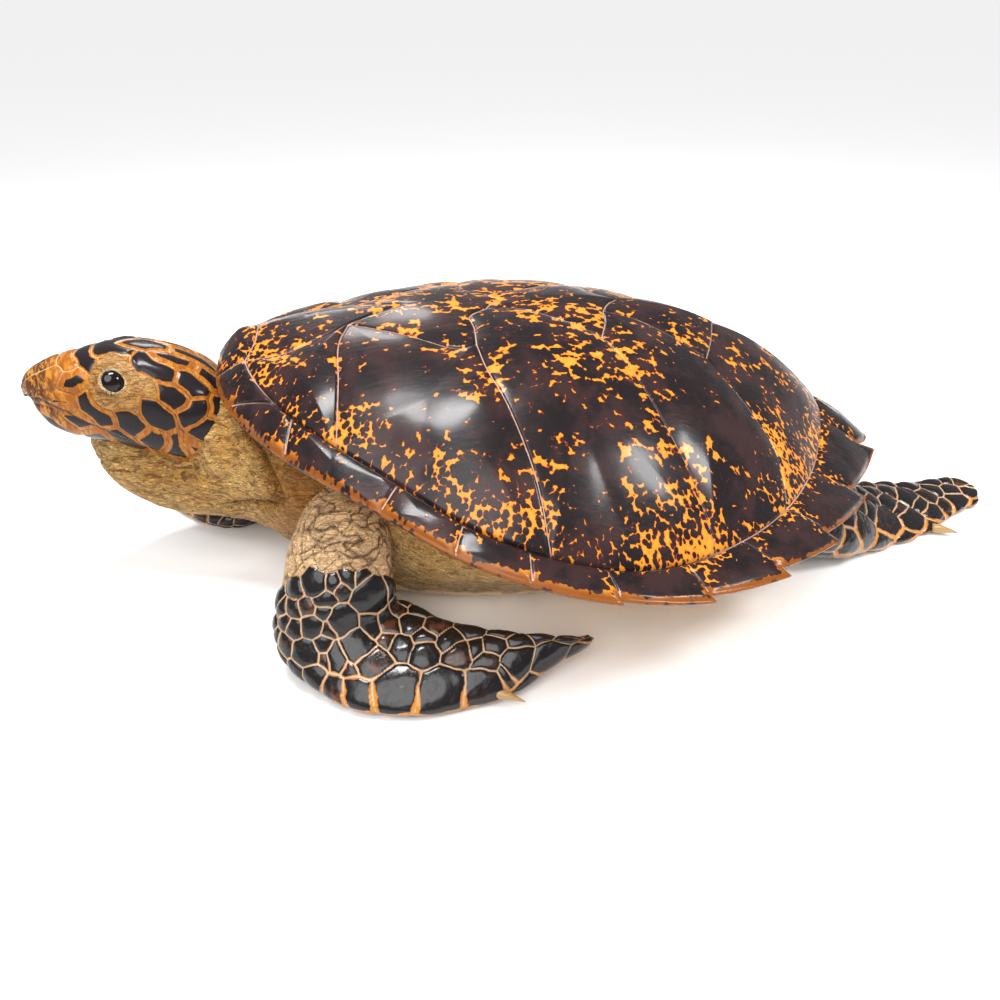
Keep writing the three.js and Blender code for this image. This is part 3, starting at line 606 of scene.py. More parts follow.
def scute(bm, points, kind, bulge):
    """One scute: a sheet whose rings shrink from its seam towards its middle."""
    rows, fuller = SCUTES[kind]
    loop = np.array(points)
    middle = loop.mean(axis=0)
    corners, column, row = sheet(bm, len(loop), rows)
    outwards_way = loop[column % len(loop)] - middle
    ring = 1 - (row / rows) ** 1.8
    x, y = (middle + outwards_way * ring[:, None]).T
    sides, rings, free = seam_runs(points)
    from_side = distance_to_pieces(x, y, sides)
    from_ring = distance_to_pieces(x, y, rings)
    from_edge = distance_to_pieces(x, y, free)
    from_seam = np.minimum(from_side, from_ring)
    share, _, reach = seen_from_crown(x, y)
    rearward = np.clip(outwards_way[:, 0] / np.maximum(np.hypot(*outwards_way.T), 1) + 0.3, 0, 1)
    height = EDGE_LIFT + OVERLAP_LIFT * rearward * ring + bulge * fuller * (1 - ring**2)
    # A dark crease runs along the ring's seam, from the shoulder to the hip: a deeper groove whose dark seam
    # line is painted shade.
    crease = smooth(reach, 0.86, 0.88) * smooth(share, 0.12, 0.2) * fade(share, 0.54, 0.62)
    crease *= fade(from_ring, 1, 3)
    depth = SEAM_DEPTH * (0.35 + 0.65 * crease)
    height = -depth + (height + depth) * smooth(from_seam, 0, 1.1 + 0.7 * crease)
    ground = np.stack([x, y, dome_height(x, y)], axis=-1)
    waves = ripple(ground, 38, 2.0) * 0.8 + ripple(ground, 15, 5.0) * 0.18
    waves *= np.clip(np.abs(y) / 80, 0.25, 1)
    height = (height + waves * smooth(from_seam, 1, 14)) * smooth(from_edge, 0, 4)
    places = ground + dome_normal(x, y) * height[:, None]
    if kind == "marginal":
        fine = fade(from_ring, 10, 30)
        amber = marginal_amber(outwards_way[:, 0] * ring, share, reach, from_edge, from_side, from_ring)
    else:
        fine = fade(spread(FLARE_START, share) - reach, 0.03, 0.27)
        amber = dome_amber(kind, x, y, fine, from_seam)
    put(corners, places, seam=from_seam, rim=from_edge, amber=amber, crease=crease, fine=fine, under=0)


def rim_loop():
    """The free edge of the whole shell with its tips, once round."""
    half = list(FRONT_RIM)
    for number in range(1, len(RIM_SEAMS)):
        edge = marginal_rim(number)
        half.extend(edge[1:])
        if math.dist(edge[-1], OUTER[number]) > LEAST_TIP:
            half.append(OUTER[number])
    return [*half, *back(mirrored(half))[1:-1]]


def underside_height(x, y):
    """Height of the shallow face that closes the shell below."""
    return np.interp(x, RIM_SAMPLES[:, 0], RIM_SAMPLES[:, 2]) - LIP * 2.8


# How the lip curves in under the rim and on to the face below: scale of the rim's outline, drops of a lip.
LIP_LEVELS = [
    (1, 0), (0.9985, 0.3), (0.995, 0.62), (0.989, 0.85), (0.98, 0.97), (0.96, 1.05), (0.93, 1.3),
    (0.87, 1.9), (0.75, 2.4), (0.5, 2.8), (0.25, 2.8), (0, 2.8),
]


def underside(bm):
    """The lip under the rim and the shallow face that closes the shell below."""
    loop = np.array(rim_loop())
    corners, column, row = sheet(bm, len(loop), len(LIP_LEVELS) - 1)
    rim = loop[column % len(loop)]
    scale, drop = np.array(LIP_LEVELS)[row].T
    beyond = np.maximum(rim_reach(rim[:, 0], rim[:, 1]), 1)
    beyond = 1 + (beyond - 1) * smooth(1 - scale, 0.002, 0.02)
    edge_x = CROWN_X + (rim[:, 0] - CROWN_X) / beyond
    edge_y = rim[:, 1] / beyond
    x = CROWN_X + (edge_x - CROWN_X) * scale
    level = np.interp(x, RIM_SAMPLES[:, 0], RIM_SAMPLES[:, 2])
    near_rim = np.clip((scale - 0.8) / 0.2, 0, 1)
    height = level + (dome_height(edge_x, edge_y) - level) * near_rim - LIP * drop
    places = np.stack([x, edge_y * scale, height], axis=-1)
    inwards = np.hypot(x - edge_x, edge_y * (1 - scale))
    amber = np.interp(x, [-240, -150, -60, 100, 200], [0.0, 0.1, 0.35, 0.35, 0.1])
    amber -= 0.3 * smooth(inwards, 3, 30)
    put(corners, places, seam=FAR, rim=inwards, amber=amber, crease=0, fine=0, under=smooth(inwards, 6, 16))


# ---------- soft body ----------


def wrapped_sheet(bm, around, along):
    """A sheet to wrap round a body: its corners, their shares of its length, ends that close, and angles."""
    corners, column, row = sheet(bm, around, along)
    share = np.clip((row - 1) / (along - 2), 0, 1)
    closed = (row == 0) | (row == along)
    return corners, share, closed, np.where(closed, 0, column / around * 2 * math.pi)


def body_rings(bm, stations, around, along, power):
    """A closed body along X: its corners, the share of its length at each, and their places."""
    corners, share, closed, angle = wrapped_sheet(bm, around, along)
    x, top, bottom, width = through(stations, share).T
    size = np.where(closed, 0, 1)
    y = width * size * bowed(np.cos(angle), power)
    z = (top + bottom) / 2 + (top - bottom) / 2 * size * bowed(np.sin(angle), power)
    return corners, share, np.stack([x, y, z], axis=-1)


def lifted(places, normal, height, share, start=(0, 0.03), end=0.97):
    """Places raised along their normals by a height that fades towards both tips of the body."""
    ends = smooth(share, *start) * fade(share, end, 1)
    return places + normal * (height * ends)[:, None]


def outwards(places, columns, rows):
    """Normals of a sheet of places ordered by rows, wrapping across its columns."""
    net = places.reshape(rows + 1, columns + 1, 3)
    around = np.roll(net[:, :-1], -1, axis=1) - np.roll(net[:, :-1], 1, axis=1)
    around = np.concatenate([around, around[:, :1]], axis=1)
    along = np.gradient(net, axis=0)
    normal = np.cross(around, along).reshape(-1, 3)
    size = np.linalg.norm(normal, axis=1, keepdims=True)
    normal = normal / np.maximum(size, 1e-6)
    centre = net.mean(axis=1, keepdims=True)
    inward = (normal.reshape(net.shape) * (net - centre)).sum() < 0
    return -normal if inward else normal


def turn_head(places):
    """Turns places with the head about the base of the skull."""
    turned = places.copy()
    x, y = places[:, 0] - HEAD_PIVOT_X, places[:, 1]
    turned[:, 0] = HEAD_PIVOT_X + x * math.cos(HEAD_YAW) - y * math.sin(HEAD_YAW)
    turned[:, 1] = x * math.sin(HEAD_YAW) + y * math.cos(HEAD_YAW)
    return turned


def nearest_two(places, starts, ends, sizes=0.0):
    """Index of the nearest plate, the distances to its border and to its middle.

    Plates with a larger size take more room. The places are taken in blocks to save memory.
    """
    starts, ends = np.asarray(starts, float), np.asarray(ends, float)
    step = ends - starts
    size = np.maximum((step**2).sum(axis=1), 1e-6)
    weight = np.broadcast_to(np.asarray(sizes, float) ** 2, len(starts))
    found = []
    for block in np.array_split(places, max(1, len(places) // 8000)):
        part = np.einsum("ijk,jk->ij", block[:, None] - starts, step) / size
        foot = starts + np.clip(part, 0, 1)[..., None] * step
        apart = ((block[:, None] - foot) ** 2).sum(axis=2) - weight
        order = np.argsort(apart, axis=1)[:, :2]
        rows = np.arange(len(block))
        first, second = apart[rows, order[:, 0]], apart[rows, order[:, 1]]
        between = np.linalg.norm(foot[rows, order[:, 0]] - foot[rows, order[:, 1]], axis=1)
        inwards = np.sqrt(np.maximum(first + weight[order[:, 0]], 0))
        found.append((order[:, 0], (second - first) / (2 * np.maximum(between, 1)), inwards))
    return [np.concatenate(parts) for parts in zip(*found)]


def eye_opening(places):
    """Where a place lies in the eye's almond: 1 at the edge of its opening, and the height in it."""
    ahead = places[:, 0] - EYE[0] - OPENING_SHIFT
    above = places[:, 2] - EYE[2] - OPENING_SHIFT
    tilt = math.radians(-12)
    length_way = ahead * math.cos(tilt) + above * math.sin(tilt)
    height_way = above * math.cos(tilt) - ahead * math.sin(tilt)
    half_height = np.where(height_way > 0, 5.6, 5.9)
    return np.hypot(length_way / 6.4, height_way / half_height), length_way, height_way


def head_shape(bm):
    around, along = 208, 220
    corners, share, places = body_rings(bm, HEAD, around, along, 0.86)
    half = np.abs(places[:, 1])
    side = np.sign(places[:, 1])
    normal = outwards(places, around, along)
    # The closed mouth is a groove, with the lower jaw a little behind the upper.
    below = np.interp(places[:, 0], *zip(*MOUTH)) - places[:, 2]
    gape = fade(places[:, 0], -318, -308)
    groove = bell(below / 1.3) * 2.0 * gape
    tucked = smooth(below, 0, 2.5) * fade(below, 16, 30) * 1.6 * gape
    mirror = np.stack([places[:, 0], half, places[:, 2]], axis=-1)
    wobble = np.stack([ripple(places, 9, seed) for seed in (1.0, 4.0, 7.0)], axis=-1)
    starts, ends, ink = zip(*HEAD_PLATES)
    plate, border, _ = nearest_two(mirror + wobble * 0.9, starts, ends)
    ink = np.array(ink)[plate]
    skin = (ink < 0) * 1.0
    # Lids round the eye: an almond opening, a ridge and folds.
    opening, length_way, height_way = eye_opening(places)
    near_eye = (half > 14) & (opening < 3.2)
    lids = bell((opening - 1.16) / 0.14) - 0.6 * bell((opening - 1.45) / 0.1)
    lids += 0.5 * np.cos(opening * 17) * smooth(opening, 1.5, 1.7) * fade(opening, 2.5, 2.9)
    socket = -8 * smooth(1.06 - opening, 0, 0.35)
    brow = 1.6 * bell((height_way - 15) / 4) * bell(length_way / 16)
    lid_skin = fade(opening, 2.5, 2.8) * near_eye
    raised = smooth(border, 0, 2.2) * 0.75 + smooth(border, 0, 7) * 0.5
    raised = raised * (1 - lid_skin) * (1 - 0.6 * skin)
    folds = ripple(places, 4.2, 9.0) * 0.7 * np.maximum(skin, lid_skin)
    height = raised - 0.5 - groove - tucked + (lids + socket + brow) * near_eye + folds
    places = lifted(places, normal, height, share, (0.01, 0.05), 0.985)
    nostril = np.exp(-((places[:, 0] + 401) ** 2 + (half - 6) ** 2 * 1.6 + (places[:, 2] - 190) ** 2) / 4.5)
    places = places - normal * (2.2 * nostril)[:, None]
    # The lids lie over the eyeball, and are pushed out where they would cut it.
    from_eye = np.stack([places[:, 0], half, places[:, 2]], axis=-1) - EYE
    reach = np.maximum(np.linalg.norm(from_eye, axis=1), 1)
    cover = smooth(opening, 0.96, 1.12) * fade(opening, 2.2, 3.1) * near_eye
    move = from_eye * (np.maximum(LID_REACH + lids - reach, 0) * cover / reach)[:, None]
    move[:, 1] *= side
    places = turn_head(places + move)
    # The mouth groove and the nostrils are marked for painted shade in the head's colour.
    put(
        corners, places, border=border, ink=np.where(lid_skin > 0.5, -1, ink),
        bare=np.maximum(skin, lid_skin),
        beak=fade(places[:, 0], -396, -380), lid=bell((opening - 1.1) / 0.13) * near_eye,
        hollow=np.clip(groove / 2 + nostril, 0, 1),
    )


def limb_surface(stations, share, angle, closed):
    """Places on a flipper, and the same places with its thin parts swollen, to share them out to scales."""
    leading, trailing, thickness = zip(*stations)
    lead = through(leading, share)
    middle = (lead + through(trailing, share)) / 2
    thick = through(thickness, share)[:, 0]
    chord = lead - middle
    spine = np.add(leading, trailing)
    travel = through(spine, np.minimum(share + 0.02, 1)) - through(spine, np.maximum(share - 0.02, 0))
    normal = np.cross(travel, chord)
    normal /= np.maximum(np.linalg.norm(normal, axis=1, keepdims=True), 1e-6)
    size = np.where(closed, 0, 1)
    level = middle + chord * (np.cos(angle) * size)[:, None]
    up = np.sin(angle) * size
    places = level + normal * (up * thick / 2)[:, None]
    return places, level + normal * (up * np.maximum(thick / 2, SWOLLEN_HALF))[:, None]


def flipper_shape(bm, stations, mesh_size, scales, seed, upper):
    """A flipper whose upper face lies at the positive or the negative angles."""
    corners, share, closed, angle = wrapped_sheet(bm, *mesh_size)
    places, swollen = limb_surface(stations, share, angle, closed)
    normal = outwards(places, *mesh_size)
    is_front = scales is FRONT_SCALES
    one_face = np.array(scales, float)
    if is_front:
        # Seeds of bare skin round the arm, further down it along the trailing edge.
        turns = np.linspace(0, math.pi, 7)
        for higher in (0.035, 0.08, 0.14):
            arm = ARM_END - higher + 0.055 * (1 - np.cos(turns)) / 2
            one_face = np.vstack([one_face, np.stack([arm, turns, np.full(len(turns), 6)], axis=-1)])
    other_face = one_face * (1, -1, 1) + (0.012, 0, 0)
    seed_share, seed_angle, sizes = np.vstack([one_face, other_face]).T
    _, centres = limb_surface(stations, seed_share, seed_angle * upper, np.zeros(len(sizes), bool))
    wobble = np.stack([ripple(places, 8, seed + k) for k in (1.0, 4.0, 7.0)], axis=-1)
    scale, border, inwards = nearest_two(swollen + wobble * 1.3, centres, centres, sizes)
    is_skin = np.arange(len(sizes)) % len(one_face) >= len(scales)
    bare = is_skin[scale] * 1.0
    dome = 1 - np.minimum(inwards / (1.5 * sizes[scale] + 2), 1) ** 2
    raised = (1.9 * dome - np.exp(-border / 0.9)) * bpy.context.scene.turtle_skin.scale_height
    raised += ripple(places, 7, seed + 6.0) * 0.22 * smooth(border, 0.5, 2)
    fold = creases(places, 9, seed + 3.0, 0.1)
    folds = ripple(places, 26, seed + 3.0) * 1.4 - fold * 1.2
    places = lifted(places, normal, raised * (1 - bare) + folds * bare, share, (0, 0.01))
    places[:, 2] = np.maximum(places[:, 2], GROUND_GAP)
    leading = np.maximum(np.cos(angle), 0) ** 2
    gold_from = GOLD_FROM if is_front else 0
    amber = leading * smooth(share, gold_from, gold_from + 0.15) * 3.0 + smooth(share, 0.86, 1) * 1.2
    tone = np.random.default_rng(seed + 5).uniform(0, 1, len(centres))[scale]
    # The folds of the bare arm are kept for painted shade in its colour.
    put(corners, places, border=border, bare=bare, amber=amber, tone=tone, claw=0, fold=fold * bare)


def add_claw(bm, base, way):
    """A small pointed claw that bends down a little."""
    bmesh.ops.create_cone(
        bm, cap_ends=True, cap_tris=True, segments=24, radius1=CLAW_RADIUS, radius2=0.3, depth=CLAW_LENGTH
    )
    sides = [edge for edge in bm.edges if edge.calc_length() > CLAW_LENGTH / 2]
    bmesh.ops.subdivide_edges(bm, edges=sides, cuts=7)
    turn = Vector((0, 0, 1)).rotation_difference(Vector(way).normalized()).to_matrix()
    places = []
    for vertex in bm.verts:
        along = (vertex.co.z + CLAW_LENGTH / 2) / CLAW_LENGTH
        fuller = 1 + 1.2 * along * (1 - along)
        local = Vector((vertex.co.x * fuller, vertex.co.y * fuller, vertex.co.z + 4))
        places.append(tuple(Vector(base) + turn @ local + Vector((0, 0, -2.5 * along**2))))
    put(bm.verts, places, border=9, bare=0, amber=0, tone=0.5, claw=1)


def neck_shape(bm):
    around, along = 300, 270
    corners, share, places = body_rings(bm, NECK, around, along, 0.92)
    x, z = places[:, 0], places[:, 2]
    # The throat is drawn in where the jaw lies over it.
    places[:, 1] *= 1 - 0.30 * smooth(z, 99, 117) * fade(x, -304, -284)
    normal = outwards(places, around, along)
    from_fold = distance_to_pieces(x, z, list(zip(THROAT_FOLD[:-1], THROAT_FOLD[1:])))
    ahead = np.interp(z, [82, 92, 105, 132, 146], [-272, -251, -229, -240, -249]) - x
    hanging = 3.0 * smooth(ahead, -2, 6) * fade(from_fold, 6, 40)
    side = smooth(np.abs(places[:, 1]), 20, 40)
    fold = creases(places, 11, 2.0)
    small = creases(places, 5.5, 6.0) * 0.6
    relief = ripple(places, 40, 4.0) * 2.0 - 0.9 * fold - 0.5 * small
    relief += (hanging - 6.0 * bell(from_fold / 3.6)) * side
    places = lifted(places, normal, relief, share)
    # Painted shade in the folds and along the fold where the throat hangs over the shoulder.
    shade = np.maximum(np.maximum(fold * 0.75, small), bell(from_fold / 3.0) * side)
    put(corners, places, bare=1, fold=shade)


def tail_shape(bm):
    around, along = 120, 90
    corners, share, places = body_rings(bm, TAIL, around, along, 0.9)
    normal = outwards(places, around, along)
    fold = creases(places, 9, 3.0)
    relief = ripple(places, 26, 8.0) * 1.2 - fold * 0.8
    narrow = np.minimum(1, through(TAIL, share)[:, 3] / 30)
    # Painted shade in the folds of the tail.
    put(corners, lifted(places, normal, relief * narrow, share), bare=1, fold=fold * 0.8)


def plastron_shape(bm):
    """Bridges and belly from level outlines, with the seams between the belly scutes."""
    around, rows, inner_rows = 320, 44, 16
    corners, column, row = sheet(bm, around, rows)
    part = np.clip((row - inner_rows) / (rows - 1 - inner_rows), 0, 1)
    height, front, rear, width = through(PLASTRON, part).T
    height = np.maximum(height, 0)
    size = np.where(row <= inner_rows, row / inner_rows, 1.0)
    size = np.where(row == rows, 0.0, size)
    angle = column / around * 2 * math.pi
    x = (front + rear) / 2 - size * (rear - front) / 2 * bowed(np.cos(angle), 0.82)
    y = -size * width * bowed(np.sin(angle), 0.82)
    bend = -14 * (np.abs(y) / 100) ** 2
    from_cross = np.min(np.abs((x - bend)[:, None] - BELLY_SEAMS), axis=1)
    from_middle = np.where(height < 4, np.abs(y), FAR)
    from_seam = np.minimum(np.minimum(from_cross, from_middle), np.abs(height - BRIDGE_SEAM_HEIGHT))
    groove = 0.9 * fade(from_seam, 0, 2.0)
    inward = np.where(height < 1, 0, groove / np.maximum(np.hypot(x, y), 1))
    x, y, z = x * (1 - inward), y * (1 - inward), height + np.where(height < 1, groove, 0)
    z = np.minimum(z, underside_height(x, y) + 6)
    places = np.stack([x, y, z], axis=-1)
    # The skin of the flanks begins at a ragged line above the edge of the belly.
    bare = smooth(height + ripple(places, 18, 3.0) * 5, 24, 34)
    put(corners, places, seam=from_seam, amber=0.4 - 0.35 * smooth(height, 20, 90), bare=bare)


# ---------- materials ----------


class Nodes:
    """Adds nodes to a material or a group. A value may be a number, a colour or another node's output."""

    def __init__(self, tree):
        self.tree = tree
        self.made = 0

    def fill(self, sockets, values):
        """Gives each named input its value or its link. An underscore in a name stands for a space."""
        for key, value in values.items():
            socket = sockets[key.replace("_", " ") if isinstance(key, str) else key]
            if isinstance(value, bpy.types.NodeSocket):
                self.tree.links.new(value, socket)
            else:
                socket.default_value = value

    def add(self, kind, inputs=(), **settings):
        node = self.tree.nodes.new(kind)
        node.location = (self.made % 8 * 190, -(self.made // 8) * 260)
        self.made += 1
        for key, value in settings.items():
            setattr(node, key, value)
        self.fill(node.inputs, dict(inputs))
        return node

    def math(self, operation, first, second=0.0, third=0.0, clamp=False):
        inputs = {0: first, 1: second, 2: third}
        return self.add("ShaderNodeMath", inputs, operation=operation, use_clamp=clamp).outputs[0]

    def mix(self, share, first, second):
        inputs = {0: share, 6: first, 7: second}
        return self.add("ShaderNodeMix", inputs, data_type="RGBA", clamp_factor=True).outputs[2]

    def step(self, value, low, high, start=0.0, end=1.0, kind="SMOOTHSTEP"):
        """A smooth step from start to end as the value goes from low to high."""
        inputs = {"Value": value, "From Min": low, "From Max": high, "To Min": start, "To Max": end}
        return self.add("ShaderNodeMapRange", inputs, interpolation_type=kind).outputs[0]

    def line(self, value, low, high, start=0.0, end=1.0):
        """The same with an even slope."""
        return self.step(value, low, high, start, end, "LINEAR")

    def place(self, scale=(1, 1, 1), turn=(0, 0, 0)):
        """Object coordinates, stretched and turned."""
        where = self.add("ShaderNodeTexCoord").outputs["Object"]
        turn = [math.radians(angle) for angle in turn]
        return self.add("ShaderNodeMapping", {0: where, "Scale": scale, "Rotation": turn}).outputs[0]

    def axis(self, index):
        """One of the three object coordinates."""
        return self.add("ShaderNodeSeparateXYZ", {0: self.place()}).outputs[index]

    def noise(self, where, scale, detail=3.0, roughness=0.55, distortion=0.0):
        inputs = {"Vector": where, "Scale": scale, "Detail": detail, "Roughness": roughness}
        return self.add("ShaderNodeTexNoise", {**inputs, "Distortion": distortion}).outputs[0]

    def cells(self, where, scale, feature="F1"):
        """Distance to the middle or the edge of the cell that a place lies in."""
        inputs = {"Vector": where, "Scale": scale}
        return self.add("ShaderNodeTexVoronoi", inputs, feature=feature).outputs["Distance"]

    def vector(self, operation, inputs):
        return self.add("ShaderNodeVectorMath", inputs, operation=operation).outputs[0]

    def warped(self, where, scale, amount):
        """Coordinates pushed about by soft noise."""
        inputs = {"Vector": where, "Scale": scale, "Detail": 2.0}
        push = self.add("ShaderNodeTexNoise", inputs).outputs["Color"]
        away = self.vector("SUBTRACT", {0: push, 1: (0.5, 0.5, 0.5)})
        return self.vector("ADD", {0: where, 1: self.vector("SCALE", {0: away, "Scale": amount})})

    def number(self, name):
        """A number stored on the corners of the piece."""
        return self.add("ShaderNodeAttribute", attribute_type="GEOMETRY", attribute_name=name).outputs["Fac"]

    def group(self, group, **inputs):
        node = self.add("ShaderNodeGroup", node_tree=group)
        self.fill(node.inputs, inputs)
        return node.outputs

    def bump(self, height, distance):
        return self.add("ShaderNodeBump", {"Height": height, "Distance": distance}).outputs[0]

    def close(self, **results):
        """Gives a group its results, one number each, and returns the group."""
        for name in results:
            self.tree.interface.new_socket(name=name, in_out="OUTPUT", socket_type="NodeSocketFloat")
        self.fill(self.add("NodeGroupOutput").inputs, results)
        return self.tree


def new_group(name, **numbers):
    """An empty node group with number inputs: what adds nodes to it, and its inputs by name."""
    group = bpy.data.node_groups.new(name, "ShaderNodeTree")
    for key, default in numbers.items():
        socket = group.interface.new_socket(
            name=key.replace("_", " "), in_out="INPUT", socket_type="NodeSocketFloat"
        )
        socket.default_value = default
    nodes = Nodes(group)
    return nodes, nodes.add("NodeGroupInput").outputs


def splashes_group():
    """Amber splashes: what is left between round dark spots, in patches and along edges."""
    nodes, inputs = new_group("Amber splashes", Amount=0.0, Spot_size=1.0, Fine=0.0)
    where = nodes.warped(nodes.place((0.8, 1.25, 0.55)), 60, 0.006)
    sized = nodes.vector("SCALE", {0: where, "Scale": inputs["Spot size"]})
    small_where = nodes.warped(nodes.place((1.3, 1.25, 0.6)), 60, 0.006)
    # Each layer's values, their middle, and its weight among coarse flecks and among fine ones.
    layers = (
        (nodes.noise(nodes.place((0.85, 1.0, 0.8)), 27, 2.0, 0.5, 0.4), 0.5, 1.15, 0.8),
        (nodes.cells(sized, 125), 0.55, 1.0, 0.35),
        (nodes.cells(small_where, 215), 0.55, 0.5, 1.0),
        (nodes.noise(sized, 420, 2.0, 0.6), 0.5, 0.25, 0.25),
    )
    field = inputs["Amount"]
    for values, middle, coarse, fine in layers:
        weight = nodes.line(inputs["Fine"], 0, 1, coarse, fine)
        field = nodes.math("MULTIPLY_ADD", nodes.math("SUBTRACT", values, middle), weight, field)
    return nodes.close(
        Amber=nodes.step(field, 0.135, 0.165), Fringe=nodes.step(field, 0.05, 0.14),
        Depth=nodes.line(field, 0.16, 0.6),
    )


def varnish_group():
    """Fine scratches and dust in the varnish: a roughness and a relief."""
    nodes, inputs = new_group("Varnish wear", Roughness=0.2, Scratches=1.0)
    long_way = nodes.noise(nodes.place((6, 1, 1), (0, 0, 25)), 320, 3.0, 0.6)
    cross_way = nodes.noise(nodes.place((1, 1, 7), (20, 0, 0)), 300, 3.0, 0.6)
    clouds = nodes.noise(nodes.place(), 45, 3.0, 0.6)
    scratched = nodes.math("MAXIMUM", nodes.step(long_way, 0.62, 0.75), nodes.step(cross_way, 0.64, 0.78))
    scratched = nodes.math("MULTIPLY", scratched, inputs["Scratches"])
    rough = nodes.math("MULTIPLY_ADD", scratched, 0.16, inputs["Roughness"])
    rough = nodes.math("MULTIPLY_ADD", nodes.math("SUBTRACT", clouds, 0.45), 0.22, rough, clamp=True)
    height = nodes.math("MULTIPLY_ADD", clouds, 0.6, nodes.math("MULTIPLY", scratched, -0.4))
    return nodes.close(Roughness=rough, Height=height)


def wrinkles_group():
    """Dry wrinkled skin: how deep each place lies in a fold, from coarse cracks to fine lines."""
    nodes, inputs = new_group("Skin wrinkles", Coarse=1.0, Fine=1.0)
    where = nodes.warped(nodes.place((0.9, 1.0, 1.2)), 110, 0.006)
    cracks = nodes.cells(where, 105, "DISTANCE_TO_EDGE")
    creases = nodes.math("MULTIPLY", nodes.step(cracks, 0.0, 0.07, 1.0, 0.0), inputs["Coarse"])
    for turn, size, depth in ((38, 80, 0.9), (-24, 100, 0.8), (10, 190, 0.6), (62, 240, 0.5)):
        stretched = nodes.place((0.55, 1.2, 1.9), (0, turn, 0))
        wave = nodes.math("SUBTRACT", nodes.noise(stretched, size, 2.0, 0.6, 0.6), 0.5)
        wave = nodes.math("ABSOLUTE", wave)
        fold = nodes.math("MULTIPLY", nodes.step(wave, 0.0, 0.075, depth, 0.0), inputs["Fine"])
        creases = nodes.math("MAXIMUM", creases, fold)
    grain = nodes.noise(nodes.place(), 700, 3.0, 0.65)
    steep = nodes.noise(nodes.place((0.45, 1.2, 1.9), (0, 34, 0)), 150, 3.0, 0.62, 1.2)
    level = nodes.noise(nodes.place((0.45, 1.2, 1.9), (0, -14, 0)), 170, 3.0, 0.62, 1.2)
    streak = nodes.step(nodes.math("MINIMUM", steep, level), 0.32, 0.46)
    height = nodes.math("MULTIPLY_ADD", creases, -1.0, nodes.math("MULTIPLY", grain, 0.5))
    return nodes.close(
        Height=nodes.math("ADD", height, streak), Crease=creases, Streak=streak,
        Mottle=nodes.noise(nodes.place(), 34, 4.0, 0.6),
    )


def ink_group():
    """The dark middle of a plate with its ragged edge, and the thin line between plates."""
    nodes, inputs = new_group("Plate ink", Border=5.0, Margin=1.5, Ragged=1.0, Line_width=0.65)
    teeth = nodes.math("SUBTRACT", nodes.noise(nodes.place(), 330, 3.0, 0.65), 0.5)
    waves = nodes.math("SUBTRACT", nodes.noise(nodes.place(), 95, 1.0, 0.5), 0.5)
    push = nodes.math("MULTIPLY_ADD", teeth, 3.2, nodes.math("MULTIPLY", waves, 3.0))
    distance = nodes.math("MULTIPLY_ADD", push, inputs["Ragged"], inputs["Border"])
    distance = nodes.math("SUBTRACT", distance, inputs["Margin"])
    thin = nodes.math("DIVIDE", inputs["Border"], inputs["Line width"])
    return nodes.close(
        Ink=nodes.step(distance, -0.12, 0.28), Halo=nodes.step(distance, -1.1, 0.1),
        Line=nodes.step(thin, 0.3, 1.0, 1.0, 0.0),
    )


def new_material(name):
    """A new material and what adds nodes to it."""
    material = bpy.data.materials.new(name)
    material.use_nodes = True
    return material, Nodes(material.node_tree)


def dress(material, nodes, **values):
    """Gives the material's own shader its values and links, and returns the material."""
    nodes.fill(material.node_tree.nodes["Principled BSDF"].inputs, values)
    return material


def shell_material(groups, settings):
    material, nodes = new_material("tortoiseshell")
    amount = nodes.math("ADD", nodes.number("amber"), settings.amber_amount)
    splash = nodes.group(groups["splashes"], Amount=amount, Fine=nodes.number("fine"))
    wear = nodes.group(groups["varnish"], Roughness=0.32)
    clouds = nodes.noise(nodes.place(), 30, 4.0, 0.6)
    purple = nodes.mix(nodes.step(clouds, 0.42, 0.62), tuple(settings.dark), (0.034, 0.016, 0.016, 1))
    red = nodes.mix(splash["Fringe"], purple, (0.16, 0.024, 0.008, 1))
    gold = nodes.mix(splash["Depth"], tuple(settings.amber), (0.76, 0.30, 0.04, 1))
    freckles = nodes.step(nodes.noise(nodes.place(), 700, 2.0, 0.5), 0.66, 0.72)
    gold = nodes.mix(freckles, gold, (0.30, 0.07, 0.01, 1))
    horn = nodes.mix(splash["Amber"], red, gold)
    # Towards the free edge the horn thins and glows deep orange.
    near_edge = nodes.step(nodes.number("rim"), 2.0, 9.0, 0.95, 0.0)
    horn = nodes.mix(nodes.math("MULTIPLY", near_edge, splash["Fringe"]), horn, (0.20, 0.055, 0.008, 1))
    seam_width = nodes.math("MULTIPLY_ADD", nodes.noise(nodes.place(), 160, 2.0), 0.5, nodes.number("seam"))
    # Painted shade: the seam line is pale on the dome and painted dark in the deep crease along the ring.
    seam_colour_and_shade = nodes.mix(nodes.number("crease"), (0.50, 0.33, 0.27, 1), (0.030, 0.012, 0.006, 1))
    horn = nodes.mix(nodes.step(seam_width, 0.5, 0.85, 1.0, 0.0), horn, seam_colour_and_shade)
    under = nodes.mix(nodes.noise(nodes.place(), 60, 4.0), (0.40, 0.19, 0.05, 1), (0.62, 0.40, 0.18, 1))
    streaks = nodes.noise(nodes.place((1, 3.5, 1)), 90, 4.0, 0.6)
    return dress(
        material, nodes, Base_Color=nodes.mix(nodes.number("under"), horn, under),
        Roughness=wear["Roughness"], Normal=nodes.bump(nodes.math("ADD", streaks, wear["Height"]), 0.00035),
        Coat_Weight=0.48, Coat_Roughness=0.17, Coat_IOR=1.4, Specular_IOR_Level=0.08,
    )


